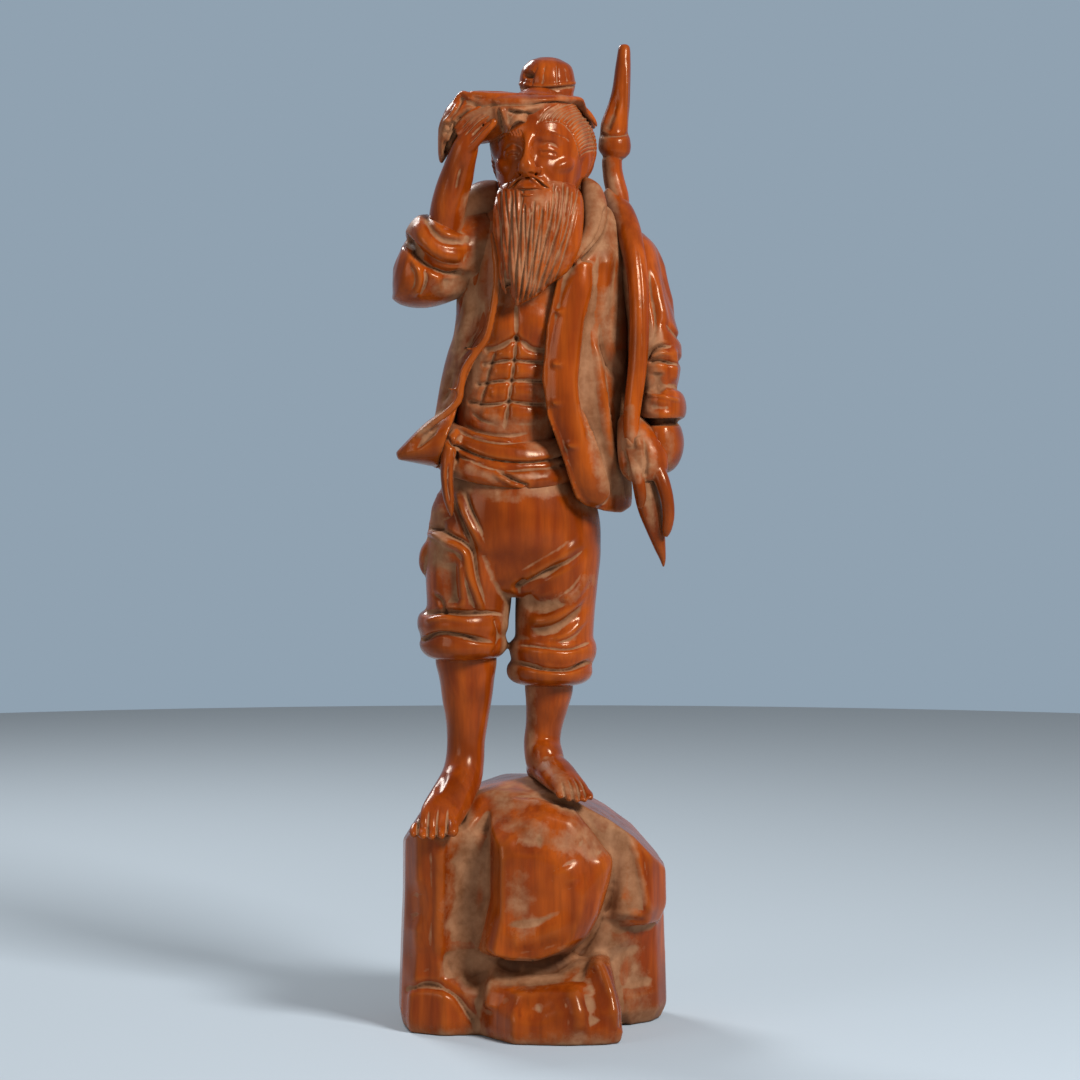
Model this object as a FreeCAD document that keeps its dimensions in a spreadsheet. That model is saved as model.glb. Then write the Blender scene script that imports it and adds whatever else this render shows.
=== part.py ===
"""A carved boxwood okimono: an old farmer standing on a rock with a hoe over one shoulder.

The figure is a joined carving. Each piece is cut from its own billet, meets its neighbours along the
borders of the carved forms, and is held by bamboo pegs. The farmer faces -Y, +Z is up, and the origin
is the middle of the rock's underside. Sizes are in millimetres.
"""

import FreeCAD
import Part
import Sketcher
import math
import os
from FreeCAD import Placement, Rotation, Vector

# Each driving size: alias, millimetres, what it measures.
SIZES = (
    ("base_width", 68, "rock, side to side"),
    ("base_depth", 60, "rock, front to back"),
    ("base_height", 62, "rock, floor to ridge"),
    ("boulder_width", 34, "raised boulder on the rock's front"),
    ("boulder_height", 42, "raised boulder, bottom to top"),
    ("boulder_depth", 22, "raised boulder, heart of the rock to its face"),
    ("shin_length", 34, "mean sole to trouser hem"),
    ("shin_width", 15, "calf, side to side"),
    ("shin_depth", 16, "calf, front to back"),
    ("foot_length", 27, "heel to toes"),
    ("foot_width", 12.4, "foot across the toes"),
    ("foot_height", 14, "sole to ankle"),
    ("toe_diameter", 3.2, "one toe"),
    ("hip_width", 44, "trousers across the hips"),
    ("hip_depth", 32, "trousers, front to back"),
    ("trouser_length", 50, "hem to waist"),
    ("cuff_width", 23.2, "rolled trouser cuff, side to side"),
    ("cuff_depth", 24, "rolled trouser cuff, front to back"),
    ("cuff_height", 14, "rolled trouser cuff, both rolls"),
    ("sash_width", 37, "sash, side to side"),
    ("sash_depth", 32, "sash, front to back"),
    ("sash_height", 15, "sash, both windings"),
    ("tail_length", 24, "hanging end of the sash"),
    ("tail_width", 6, "hanging end, across"),
    ("torso_width", 38, "chest, side to side"),
    ("torso_depth", 26, "chest, front to back"),
    ("torso_length", 68, "waist to shoulders"),
    ("jacket_width", 52, "open jacket, side to side"),
    ("jacket_depth", 32, "open jacket, front to back"),
    ("jacket_length", 76, "waist to collar top"),
    ("sleeve_reach", 30, "bent right sleeve, armpit to elbow"),
    ("sleeve_depth", 21, "bent right sleeve, front to back"),
    ("sleeve_drop", 23, "bent right sleeve, top to bottom"),
    ("roll_width", 18.4, "rolled right sleeve end"),
    ("roll_height", 11, "rolled right sleeve end, top to bottom"),
    ("forearm_length", 38, "raised forearm and hand"),
    ("forearm_girth", 12, "raised forearm below the wrist"),
    ("finger_length", 8.5, "right fingers over the cloth"),
    ("finger_diameter", 2.6, "one finger"),
    ("left_sleeve_length", 68, "hanging left sleeve"),
    ("left_sleeve_width", 17, "hanging left sleeve, side to side"),
    ("left_sleeve_depth", 20, "hanging left sleeve, front to back"),
    ("hand_length", 28, "left hand, wrist to fingertips"),
    ("hand_width", 13, "left hand across the knuckles"),
    ("hand_depth", 10, "left hand, back to palm"),
    ("head_width", 24, "head, side to side"),
    ("head_depth", 28, "head, front to back"),
    ("head_height", 35, "chin to crown"),
    ("nose_height", 8, "nose, root to tip"),
    ("ear_height", 8, "ear, top to lobe"),
    ("knot_width", 13.8, "topknot across its crown"),
    ("knot_height", 13, "topknot with its root in the hair"),
    ("beard_width", 22, "beard at the jaw"),
    ("beard_depth", 12, "beard, front to back"),
    ("beard_length", 31, "mouth to beard tip"),
    ("cloth_width", 42, "head cloth, side to side"),
    ("cloth_depth", 27, "head cloth, front to back"),
    ("cloth_height", 18, "head cloth, hanging edge to top"),
    ("handle_length", 104, "hoe handle, collar to pointed tail"),
    ("handle_diameter", 6, "hoe handle"),
    ("handle_side", 26, "hoe handle, out from the body's middle"),
    ("handle_front", 12, "hoe handle, forward of the body's middle"),
    ("blade_length", 33, "hoe blade with its collar"),
    ("blade_width", 8.4, "hoe blade at the collar"),
    ("blade_depth", 8.4, "hoe blade at the collar, front to back"),
    ("foot_peg_diameter", 3, "peg from each foot into the rock"),
    ("foot_peg_length", 22, "peg from each foot into the rock"),
    ("body_peg_diameter", 6, "peg between trousers and torso"),
    ("body_peg_length", 22, "peg between trousers and torso"),
    ("neck_peg_diameter", 4, "peg between neck and head"),
    ("neck_peg_length", 16, "peg between neck and head"),
    ("arm_peg_diameter", 3, "pegs that hold the arms"),
    ("arm_peg_length", 14, "pegs that hold the arms"),
)


def make_sheet(doc):
    """The spreadsheet that every size is bound to."""
    sheet = doc.addObject("Spreadsheet::Sheet", "Sizes")
    for row, (alias, value, meaning) in enumerate(SIZES, 1):
        sheet.set("A%d" % row, alias)
        sheet.set("B%d" % row, str(value))
        sheet.set("C%d" % row, meaning)
        sheet.setAlias("B%d" % row, alias)
    doc.recompute()
    return sheet


DOC = FreeCAD.newDocument("farmer_okimono")
SHEET = make_sheet(DOC)


def size(alias, share=1.0):
    """An expression: a share of one driving size."""
    return "Sizes.%s * %.12g" % (alias, share)


def total(*terms):
    """An expression: the sum of several."""
    return " + ".join("(%s)" % term for term in terms)


# Heights and places that several pieces share.
RIGHT_SOLE_SHARE = 0.82
LEFT_SOLE_SHARE = 0.95
MEAN_SOLE_SHARE = 0.9
RIGHT_SOLE_Z = size("base_height", RIGHT_SOLE_SHARE)
LEFT_SOLE_Z = size("base_height", LEFT_SOLE_SHARE)
HEM_Z = total(size("base_height", MEAN_SOLE_SHARE), size("shin_length"))
WAIST_Z = total(HEM_Z, size("trouser_length"))
SHOULDER_Z = total(WAIST_Z, size("torso_length"))
CHIN_Z = total(SHOULDER_Z, size("head_height", -0.23))
CROWN_Z = total(CHIN_Z, size("head_height"))
RIGHT_LEG_X = size("hip_width", -0.375)
LEFT_LEG_X = size("hip_width", 0.06)
HIP_X = size("hip_width", -0.11)
WAIST_X = size("torso_width", -0.17)
HEAD_X = size("head_width", 0.085)
HEAD_Y = size("head_depth", -0.16)

# A section's plane, the two axes that its outline lies along, and the turn that lays it there.
IN_PLANE = {"X": (1, 2), "Y": (0, 2), "Z": (0, 1)}
TURNS = {
    "X": Rotation(Vector(0, 1, 0), Vector(0, 0, 1), Vector(1, 0, 0), "ZXY"),
    "Y": Rotation(Vector(1, 0, 0), Vector(0, 0, 1), Vector(0, -1, 0), "ZXY"),
    "Z": Rotation(),
}
ROUND_SIDES = 12
SMALL_SIDES = 8


def place(item, x="0", y="0", z="0"):
    """Binds an object's position to three expressions."""
    for axis, expression in zip("xyz", (x, y, z)):
        item.setExpression("Placement.Base.%s" % axis, expression)


def oval_shares(half_u, half_v, sides):
    """Corners round an oval. Each side keeps its direction whatever the oval's shape, so that every facet
    between two ovals of a loft is flat."""
    step = 2 * math.pi / sides
    reach = [math.hypot(half_u * math.cos(step * i), half_v * math.sin(step * i)) for i in range(sides)]
    corners = []
    for i in range(sides):
        this, following = step * i, step * (i + 1)
        near, far = reach[i], reach[(i + 1) % sides]
        corners.append(((near * math.sin(following) - far * math.sin(this)) / math.sin(step),
                        (far * math.cos(this) - near * math.cos(following)) / math.sin(step)))
    return corners


def draw(sketch, aliases, shares):
    """Draws a closed outline through points given as shares of two sizes, each bound to its size."""
    points = [Vector(SHEET.get(aliases[0]) * u, SHEET.get(aliases[1]) * v) for u, v in shares]
    count = len(points)
    sketch.addGeometry([Part.LineSegment(points[i], points[(i + 1) % count]) for i in range(count)])
    rules = [Sketcher.Constraint("Coincident", i, 2, (i + 1) % count, 1) for i in range(count)]
    bound = []
    for i, corner in enumerate(shares):
        for kind, alias, share in zip(("DistanceX", "DistanceY"), aliases, corner):
            bound.append((len(rules), size(alias, share)))
            rules.append(Sketcher.Constraint(kind, -1, 1, i, 1, SHEET.get(alias) * share))
    sketch.addConstraint(rules)
    for rule, expression in bound:
        sketch.setExpression("Constraints[%d]" % rule, expression)
    return sketch


def section(normal, centre, aliases, shares):
    """One section of a form: an outline in the plane that faces the normal, at its centre."""
    sketch = DOC.addObject("Sketcher::SketchObject", "section")
    sketch.Placement = Placement(Vector(), TURNS[normal])
    place(sketch, *centre)
    return draw(sketch, aliases, shares)


def lofted(name, sections):
    """A solid with flat facets through its sections."""
    loft = DOC.addObject("Part::Loft", name)
    loft.Sections = sections
    loft.Solid = True
    loft.Ruled = True
    loft.Linearize = True
    return loft


def form(name, normal, origin, aliases, shares, girths=None, sides=ROUND_SIDES):
    """A carved form through oval sections. Each row of shares: the section's centre along X, Y and Z, then
    its two half sizes."""
    girths = girths or aliases
    across = [girths[axis] for axis in IN_PLANE[normal]]
    sections = []
    for row in shares:
        centre = [total(origin[i], size(aliases[i], row[i])) for i in range(3)]
        sections.append(section(normal, centre, across, oval_shares(row[3], row[4], sides)))
    return lofted(name, sections)


def joined(name, forms):
    """Several forms as one solid."""
    fuse = DOC.addObject("Part::MultiFuse", name)
    fuse.Shapes = forms
    return fuse


def less(name, base, tools):
    """A piece: its own form, less the neighbours that are let into it."""
    for tool in tools:
        cut = DOC.addObject("Part::Cut", name)
        cut.Base = base
        cut.Tool = tool
        base = cut
    base.Label = name
    return base


def outline(body, plane, aliases, shares):
    """A closed sketch on one of the body's planes, through points given as shares of two sizes."""
    sketch = body.newObject("Sketcher::SketchObject", "outline")
    planes = {feature.Role: feature for feature in body.Origin.OriginFeatures}
    sketch.AttachmentSupport = (planes[plane], "")
    sketch.MapMode = "FlatFace"
    return draw(sketch, aliases, shares)


def body_at(name, x="0", y="0", z="0"):
    """An empty body at a place."""
    body = DOC.addObject("PartDesign::Body", name)
    body.Label = name
    place(body, x, y, z)
    return body


def slab(name, plane, aliases, shares, depth, place_at=("0", "0", "0"), midplane=False):
    """A block with a drawn outline, used to trim another piece."""
    body = body_at(name, *place_at)
    pad = body.newObject("PartDesign::Pad", name + "_pad")
    pad.Profile = outline(body, plane, aliases, shares)
    pad.Midplane = midplane
    pad.setExpression("Length", depth)
    return body


def peg(name, diameter, length, x, y, z, turn=None):
    """A round bamboo peg, centred on its place and upright unless it is turned."""
    body = body_at(name)
    sketch = body.newObject("Sketcher::SketchObject", name + "_round")
    planes = {feature.Role: feature for feature in body.Origin.OriginFeatures}
    sketch.AttachmentSupport = (planes["XY_Plane"], "")
    sketch.MapMode = "FlatFace"
    radius = SHEET.get(diameter) / 2
    sketch.addGeometry(Part.Circle(Vector(), Vector(0, 0, 1), radius))
    sketch.addConstraint(Sketcher.Constraint("Coincident", 0, 3, -1, 1))
    bound = sketch.addConstraint(Sketcher.Constraint("Radius", 0, radius))
    sketch.setExpression("Constraints[%d]" % bound, size(diameter, 0.5))
    pad = body.newObject("PartDesign::Pad", name + "_pad")
    pad.Profile = sketch
    pad.Midplane = True
    pad.setExpression("Length", size(length))
    if turn:
        body.Placement = Placement(Vector(), turn)
    place(body, x, y, z)
    return body


# The rock is six masses. Each has one outline and a list of levels: how far up or out the level is, the
# outline's scale there, and its shift along the outline's two axes, all as shares.
MASS_SHARES = ((-0.5, 0.1), (-0.485, -0.083), (-0.434, -0.192), (-0.337, -0.223), (-0.206, -0.1), (0.0, -0.083),
               (0.25, -0.108), (0.353, -0.058), (0.463, 0.05), (0.5, 0.15), (0.493, 0.3), (0.397, 0.442),
               (0.162, 0.5), (-0.2, 0.5), (-0.441, 0.383))
MASS_LEVEL_SHARES = ((0.0, 0.95, 0.0, 0.025), (0.065, 1.0, 0.0, 0.0), (0.32, 0.985, 0.0, -0.005),
                     (0.55, 0.965, 0.0, -0.05), (0.82, 0.95, -0.005, -0.085), (1.0, 0.86, -0.015, -0.06))
SHELF_SHARES = ((-0.218, -0.033), (-0.215, -0.217), (-0.147, -0.333), (-0.074, -0.45), (0.118, -0.48), (0.265, -0.458),
                (0.325, -0.417), (0.32, -0.02))
SHELF_LEVEL_SHARES = ((0.0, 0.97, 0.0, 0.0), (0.05, 1.0, 0.0, 0.0), (0.13, 0.985, 0.0, 0.0), (0.2, 0.9, 0.01, 0.0),
                      (0.235, 0.74, 0.02, -0.02))
SHELF_END_SHARES = ((-0.078, 0.2), (-0.085, -0.133), (-0.02, -0.19), (0.053, -0.172), (0.056, 0.2))
SHELF_END_LEVEL_SHARES = ((0.0, 1.0, 0.0, 0.0), (0.2, 0.95, 0.0, 0.0), (0.31, 0.55, 0.0, 0.0))
LUMP_SHARES = ((-0.154, 0.1), (-0.118, -0.1), (0.015, -0.183), (0.147, -0.158), (0.176, -0.017), (0.176, 0.117))
LUMP_LEVEL_SHARES = ((0.0, 0.93, 0.0, 0.0), (0.05, 1.0, 0.0, 0.0), (0.17, 0.95, 0.0, 0.0), (0.26, 0.68, 0.0, 0.01))
SHOULDER_SHARES = ((-0.118, -0.15), (-0.044, -0.192), (0.066, -0.167), (0.125, -0.05), (0.125, 0.133), (-0.118, 0.133))
SHOULDER_LEVEL_SHARES = ((0.0, 0.78, 0.0, 0.0), (0.073, 1.0, 0.0, 0.0), (0.29, 0.96, 0.0, 0.0), (0.5, 0.8, 0.0, 0.0))
BOULDER_SHARES = ((-0.374, 0.455), (-0.085, 0.455), (0.168, 0.393), (0.274, 0.288), (0.447, 0.1), (0.432, -0.005),
                  (0.362, -0.207), (0.274, -0.355), (0.132, -0.452), (-0.085, -0.505), (-0.374, -0.493), (-0.532, -0.44),
                  (-0.444, -0.121), (-0.444, 0.43))
BOULDER_LEVEL_SHARES = ((0.0, 1.0, 0.0, 0.0), (0.68, 1.0, 0.0, 0.0), (0.84, 0.9, -0.01, -0.02),
                        (1.0, 0.66, -0.07, -0.15))
# What is cut away above the rock: seen from the front for the ridge, and from the side for the left ledge and
# for the brow under the left foot.
RIDGE_CUT_SHARES = ((-0.55, 0.66), (-0.38, 0.9), (-0.25, 0.93), (-0.12, 0.98), (-0.02, 1.0), (0.07, 0.98),
                    (0.16, 0.925), (0.27, 0.86), (0.37, 0.78), (0.45, 0.69), (0.52, 0.6), (0.6, 0.6), (0.6, 1.2),
                    (-0.55, 1.2))
LEDGE_CUT_SHARES = ((-0.6, 0.76), (-0.34, 0.79), (-0.06, 0.87), (0.12, 0.91), (0.6, 0.88), (0.6, 1.2), (-0.6, 1.2))
BROW_CUT_SHARES = ((-0.6, 0.89), (-0.27, 0.942), (0.12, 1.0), (0.6, 0.97), (0.6, 1.2), (-0.6, 1.2))


def make_mass(name, normal, origin, aliases, reach, shares, level_shares):
    """One mass of the rock, with flat facets between its levels. Its levels rise or come forward by reach."""
    across = [aliases[axis] for axis in IN_PLANE[normal]]
    along = 3 - sum(IN_PLANE[normal])
    sections = []
    for rise, scale, shift_u, shift_v in level_shares:
        centre = list(origin)
        centre[along] = total(origin[along], size(reach, rise if normal == "Z" else -rise))
        corners = [(u * scale + shift_u, v * scale + shift_v) for u, v in shares]
        sections.append(section(normal, centre, across, corners))
    return lofted(name, sections)


def make_rock():
    """The rock: the main mass, a shelf and a lump at its foot, a right shoulder and a raised boulder, with its
    top cut to stand on."""
    floor = ("0", "0", "0")
    rock_sizes = ("base_width", "base_depth", "base_height")
    mass = make_mass("rock_mass", "Z", floor, rock_sizes, "base_height", MASS_SHARES, MASS_LEVEL_SHARES)
    shelf = make_mass("rock_shelf", "Z", floor, rock_sizes, "base_height", SHELF_SHARES, SHELF_LEVEL_SHARES)
    end_at = (size("base_width", 0.25), size("base_depth", -0.233), "0")
    shelf_end = make_mass("rock_shelf_end", "Z", end_at, rock_sizes, "base_height", SHELF_END_SHARES,
                          SHELF_END_LEVEL_SHARES)
    lump_at = (size("base_width", -0.338), size("base_depth", -0.083), "0")
    lump = make_mass("rock_lump", "Z", lump_at, rock_sizes, "base_height", LUMP_SHARES, LUMP_LEVEL_SHARES)
    shoulder_at = (size("base_width", 0.368), size("base_depth", 0.033), size("base_height", 0.42))
    shoulder = make_mass("rock_shoulder", "Z", shoulder_at, rock_sizes, "base_height", SHOULDER_SHARES,
                         SHOULDER_LEVEL_SHARES)
    face = (size("base_width", 0.068), "0", size("base_height", 0.637))
    boulder_sizes = ("boulder_width", "boulder_depth", "boulder_height")
    boulder = make_mass("rock_boulder", "Y", face, boulder_sizes, "boulder_depth", BOULDER_SHARES,
                        BOULDER_LEVEL_SHARES)
    ridge_cut = slab("ridge_cut", "XZ_Plane", ("base_width", "base_height"), RIDGE_CUT_SHARES,
                     size("base_depth", 2), midplane=True)
    ledge_cut = slab("ledge_cut", "YZ_Plane", ("base_depth", "base_height"), LEDGE_CUT_SHARES,
                     size("base_width", 0.5), (size("base_width", -0.75), "0", "0"))
    brow_cut = slab("brow_cut", "YZ_Plane", ("base_depth", "base_height"), BROW_CUT_SHARES,
                    size("base_width", 0.85), (size("base_width", -0.25), "0", "0"))
    masses = [mass, shelf, shelf_end, lump, shoulder, boulder]
    return less("rock_shape", joined("rock_joined", masses), [ridge_cut, ledge_cut, brow_cut])


# Forms are tables of shares: centre along X, Y and Z, then two half sizes in the section's plane.
RIGHT_SHIN_SHARES = ((0.01, 0.19, 0.13, 0.35, 0.38), (0.0, 0.16, 0.45, 0.31, 0.33), (-0.01, 0.16, 0.72, 0.345, 0.375),
                     (0.0, 0.14, 1.0, 0.425, 0.46), (0.02, 0.12, 1.22, 0.48, 0.5), (0.02, 0.12, 1.45, 0.46, 0.47))
RIGHT_FOOT_SHARES = ((0.06, 0.26, 0.42, 0.27, 0.24), (0.03, 0.07, 0.52, 0.38, 0.5), (-0.16, -0.185, 0.38, 0.42, 0.4),
                     (-0.44, -0.44, 0.16, 0.47, 0.28), (-0.6, -0.6, 0.06, 0.49, 0.2))
LEFT_SHIN_SHARES = ((-0.01, 0.31, 0.05, 0.31, 0.35), (-0.02, 0.28, 0.27, 0.32, 0.325), (0.01, 0.28, 0.53, 0.33, 0.36),
                    (0.07, 0.25, 0.8, 0.39, 0.44), (0.08, 0.25, 1.09, 0.4, 0.44))
LEFT_FOOT_SHARES = ((-0.08, 0.37, 0.2, 0.26, 0.24), (-0.04, 0.19, 0.32, 0.37, 0.42), (0.2, -0.07, 0.24, 0.4, 0.32),
                    (0.48, -0.3, 0.12, 0.42, 0.22), (0.62, -0.43, 0.06, 0.42, 0.16))


def make_leg(name, x, sole_z, shin_shares, foot_shares, toe_lean_share):
    """A bare shin and foot, and the shin alone, whose top is a tenon that stands in the trouser cuff."""
    shin = form(name + "_shin", "Z", (x, "0", sole_z), ("shin_width", "shin_depth", "shin_length"), shin_shares)
    foot_sizes = ("foot_width", "foot_length", "foot_height")
    foot = form(name + "_foot", "Y", (x, "0", sole_z), foot_sizes, foot_shares)
    ball_x, ball_y, ball_z = foot_shares[-1][:3]
    toes = []
    for toe in range(5):
        across_share = -0.4 + 0.2 * toe
        reach_share = 0.13 + 0.02 * (2 - abs(toe - 2)) * (1 if toe_lean_share < 0 else 1)
        root = (ball_x + across_share, ball_y + 0.05, ball_z, 0.5, 0.5)
        knuckle = (ball_x + across_share + toe_lean_share, ball_y - reach_share * 0.6, ball_z - 0.02, 0.48, 0.5)
        tip = (ball_x + across_share + toe_lean_share * 1.5, ball_y - reach_share, ball_z - 0.06, 0.3, 0.3)
        toes.append(form(name + "_toe", "Y", (x, "0", sole_z), foot_sizes, (root, knuckle, tip), TOE_GIRTHS,
                         SMALL_SIDES))
    return joined(name + "_form", [shin, foot] + toes), shin


TOE_GIRTHS = ("toe_diameter", "toe_diameter", "toe_diameter")

PELVIS_SHARES = ((0.01, 0.04, 0.4, 0.3, 0.28), (0.01, 0.03, 0.5, 0.46, 0.43), (0.01, 0.015, 0.68, 0.495, 0.5),
                 (-0.015, 0.0, 0.86, 0.43, 0.46), (-0.045, -0.015, 1.04, 0.335, 0.385))
RIGHT_THIGH_SHARES = ((-0.28, -0.015, 0.04, 0.235, 0.345), (-0.27, -0.015, 0.26, 0.24, 0.37),
                      (-0.235, 0.0, 0.48, 0.262, 0.41), (-0.2, 0.015, 0.66, 0.25, 0.41))
LEFT_THIGH_SHARES = ((0.215, 0.04, -0.06, 0.22, 0.33), (0.225, 0.04, 0.14, 0.225, 0.345),
                     (0.255, 0.03, 0.4, 0.255, 0.39), (0.255, 0.03, 0.66, 0.25, 0.405))
CUFF_SHARES = ((0.0, 0.0, 0.02, 0.37, 0.39), (0.0, 0.0, 0.14, 0.475, 0.485), (0.0, 0.0, 0.38, 0.5, 0.5),
               (0.0, 0.0, 0.52, 0.455, 0.46), (0.0, 0.0, 0.64, 0.49, 0.495), (0.0, 0.0, 0.88, 0.495, 0.5),
               (0.0, 0.0, 1.02, 0.45, 0.46))
LEFT_HEM_DROP_SHARE = -0.12
# The main folds. The three across the left thigh have sections along X, and the one down the right thigh along Z.
ACROSS_FOLD_SHARES = (
    ((0.042, -0.373, 0.444, 0.0625, 0.02), (0.149, -0.379, 0.504, 0.081, 0.034), (0.262, -0.329, 0.564, 0.081, 0.036),
     (0.403, -0.235, 0.634, 0.0625, 0.024)),
    ((0.065, -0.185, 0.358, 0.0625, 0.022), (0.178, -0.298, 0.352, 0.0875, 0.036), (0.274, -0.316, 0.388, 0.0875, 0.036),
     (0.374, -0.266, 0.456, 0.069, 0.024)),
    ((0.083, -0.2, 0.248, 0.0625, 0.022), (0.194, -0.304, 0.248, 0.0875, 0.034), (0.29, -0.313, 0.282, 0.0875, 0.034),
     (0.385, -0.254, 0.356, 0.069, 0.024)),
)
DOWN_FOLD_SHARES = ((-0.176, -0.235, 0.274, 0.03, 0.05), (-0.206, -0.348, 0.358, 0.039, 0.075),
                    (-0.245, -0.366, 0.456, 0.039, 0.075), (-0.267, -0.373, 0.564, 0.036, 0.069),
                    (-0.31, -0.329, 0.624, 0.018, 0.0375))


def make_trousers():
    """Loose trousers rolled up to the knees, with a double roll round each leg."""
    hips = (HIP_X, size("hip_depth", 0.06), HEM_Z)
    hip_sizes = ("hip_width", "hip_depth", "trouser_length")
    cuff_sizes = ("cuff_width", "cuff_depth", "cuff_height")
    right_hem = (size("hip_width", -0.393), size("hip_depth", 0.045), HEM_Z)
    left_hem_z = total(HEM_Z, size("trouser_length", LEFT_HEM_DROP_SHARE))
    left_hem = (size("hip_width", 0.095), size("hip_depth", 0.11), left_hem_z)
    folds = [form("thigh_fold", "X", hips, hip_sizes, shares, sides=SMALL_SIDES) for shares in ACROSS_FOLD_SHARES]
    folds.append(form("thigh_fold", "Z", hips, hip_sizes, DOWN_FOLD_SHARES, sides=SMALL_SIDES))
    return joined("trousers_form", folds + [
        form("pelvis", "Z", hips, hip_sizes, PELVIS_SHARES),
        form("right_thigh", "Z", hips, hip_sizes, RIGHT_THIGH_SHARES),
        form("left_thigh", "Z", hips, hip_sizes, LEFT_THIGH_SHARES),
        form("right_cuff", "Z", right_hem, cuff_sizes, CUFF_SHARES),
        form("left_cuff", "Z", left_hem, cuff_sizes, CUFF_SHARES),
    ])


TORSO_SHARES = ((-0.01, 0.06, 0.0, 0.33, 0.385), (0.005, 0.05, 0.12, 0.34, 0.39), (0.045, 0.04, 0.3, 0.38, 0.415),
                (0.09, 0.04, 0.47, 0.43, 0.46), (0.16, 0.06, 0.66, 0.485, 0.5), (0.23, 0.08, 0.83, 0.5, 0.48),
                (0.265, 0.1, 0.945, 0.4, 0.385), (0.26, 0.06, 1.02, 0.24, 0.31), (0.245, 0.0, 1.13, 0.165, 0.25))


def make_torso():
    """Bare chest and belly, with the neck as a tenon for the head."""
    waist = (WAIST_X, "0", WAIST_Z)
    return form("torso_form", "Z", waist, ("torso_width", "torso_depth", "torso_length"), TORSO_SHARES)


SASH_SHARES = ((0.0, 0.0, 0.0, 0.455, 0.45), (0.0, 0.0, 0.17, 0.5, 0.5), (0.0, 0.0, 0.4, 0.48, 0.475),
               (0.0, 0.0, 0.5, 0.44, 0.435), (0.0, 0.0, 0.64, 0.46, 0.455), (0.0, 0.0, 0.87, 0.425, 0.415),
               (0.0, 0.0, 1.03, 0.36, 0.35))
TAIL_SHARES = ((0.0, 0.15, 0.3, 0.3, 0.3), (0.0, 0.0, 0.2, 0.55, 0.55), (-0.05, -0.15, 0.06, 0.5, 0.5),
               (-0.1, -0.25, -0.02, 0.3, 0.35), (-0.12, -0.35, -0.2, 0.48, 0.42), (0.0, -0.4, -0.45, 0.36, 0.36),
               (0.12, -0.4, -0.68, 0.18, 0.2))


def make_sash():
    """A sash wound twice round the waist, with its knot and hanging end at the right hip."""
    low = total(WAIST_Z, size("sash_height", -0.45))
    ring = form("sash_ring", "Z", (size("sash_width", -0.165), size("sash_depth", 0.055), low),
                ("sash_width", "sash_depth", "sash_height"), SASH_SHARES)
    hip = (size("sash_width", -0.53), size("sash_depth", -0.26), WAIST_Z)
    tail = form("sash_tail", "Z", hip, ("tail_width", "tail_width", "tail_length"), TAIL_SHARES,
                sides=SMALL_SIDES)
    return joined("sash_form", [ring, tail])


JACKET_SHARES = ((-0.02, 0.0, -0.155, 0.5, 0.48), (-0.025, 0.0, -0.05, 0.5, 0.5), (-0.045, 0.0, 0.08, 0.5, 0.5),
                 (-0.01, 0.0, 0.265, 0.44, 0.475), (0.03, 0.0, 0.42, 0.415, 0.46), (0.06, 0.01, 0.58, 0.415, 0.475),
                 (0.095, 0.02, 0.74, 0.415, 0.45), (0.105, 0.03, 0.845, 0.35, 0.375), (0.08, 0.03, 0.925, 0.21, 0.29))
FLARE_SHARES = ((-0.2, -0.04, 0.12, 0.42, 0.12), (-0.44, -0.14, 0.1, 0.28, 0.07), (-0.63, -0.25, 0.045, 0.06, 0.02))
# The thick edges of the jacket's open front.
LEFT_EDGE_SHARES = ((0.166, -0.412, 0.588, 0.013, 0.037), (0.128, -0.425, 0.489, 0.023, 0.062),
                     (0.099, -0.431, 0.417, 0.023, 0.062), (0.082, -0.434, 0.262, 0.023, 0.062),
                     (0.124, -0.444, 0.155, 0.023, 0.069), (0.185, -0.438, 0.045, 0.023, 0.069),
                     (0.228, -0.412, -0.063, 0.021, 0.062))
RIGHT_EDGE_SHARES = ((-0.155, -0.394, 0.582, 0.015, 0.041), (-0.174, -0.403, 0.497, 0.023, 0.062),
                     (-0.203, -0.394, 0.424, 0.023, 0.062), (-0.255, -0.381, 0.371, 0.023, 0.062),
                     (-0.305, -0.369, 0.320, 0.023, 0.062), (-0.332, -0.375, 0.222, 0.023, 0.062),
                     (-0.374, -0.362, 0.161, 0.019, 0.056))
# The front of the jacket hangs open inside this outline, as shares of jacket width and length.
OPENING_SHARES = ((-0.13, 0.95), (-0.155, 0.7), (-0.19, 0.47), (-0.29, 0.28), (-0.38, 0.15), (-0.4, -0.2),
                  (0.29, -0.2), (0.225, -0.02), (0.165, 0.09), (0.09, 0.24), (0.095, 0.42), (0.15, 0.65),
                  (0.25, 0.95))
# Everything below this line is trimmed from the jacket.
HEM_SHARES = ((-0.8, -0.3), (-0.8, 0.02), (-0.63, 0.03), (-0.4, -0.01), (-0.2, -0.03), (0.19, -0.04),
              (0.24, -0.12), (0.33, -0.148), (0.44, -0.14), (0.5, -0.08), (0.8, -0.08), (0.8, -0.3))


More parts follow.
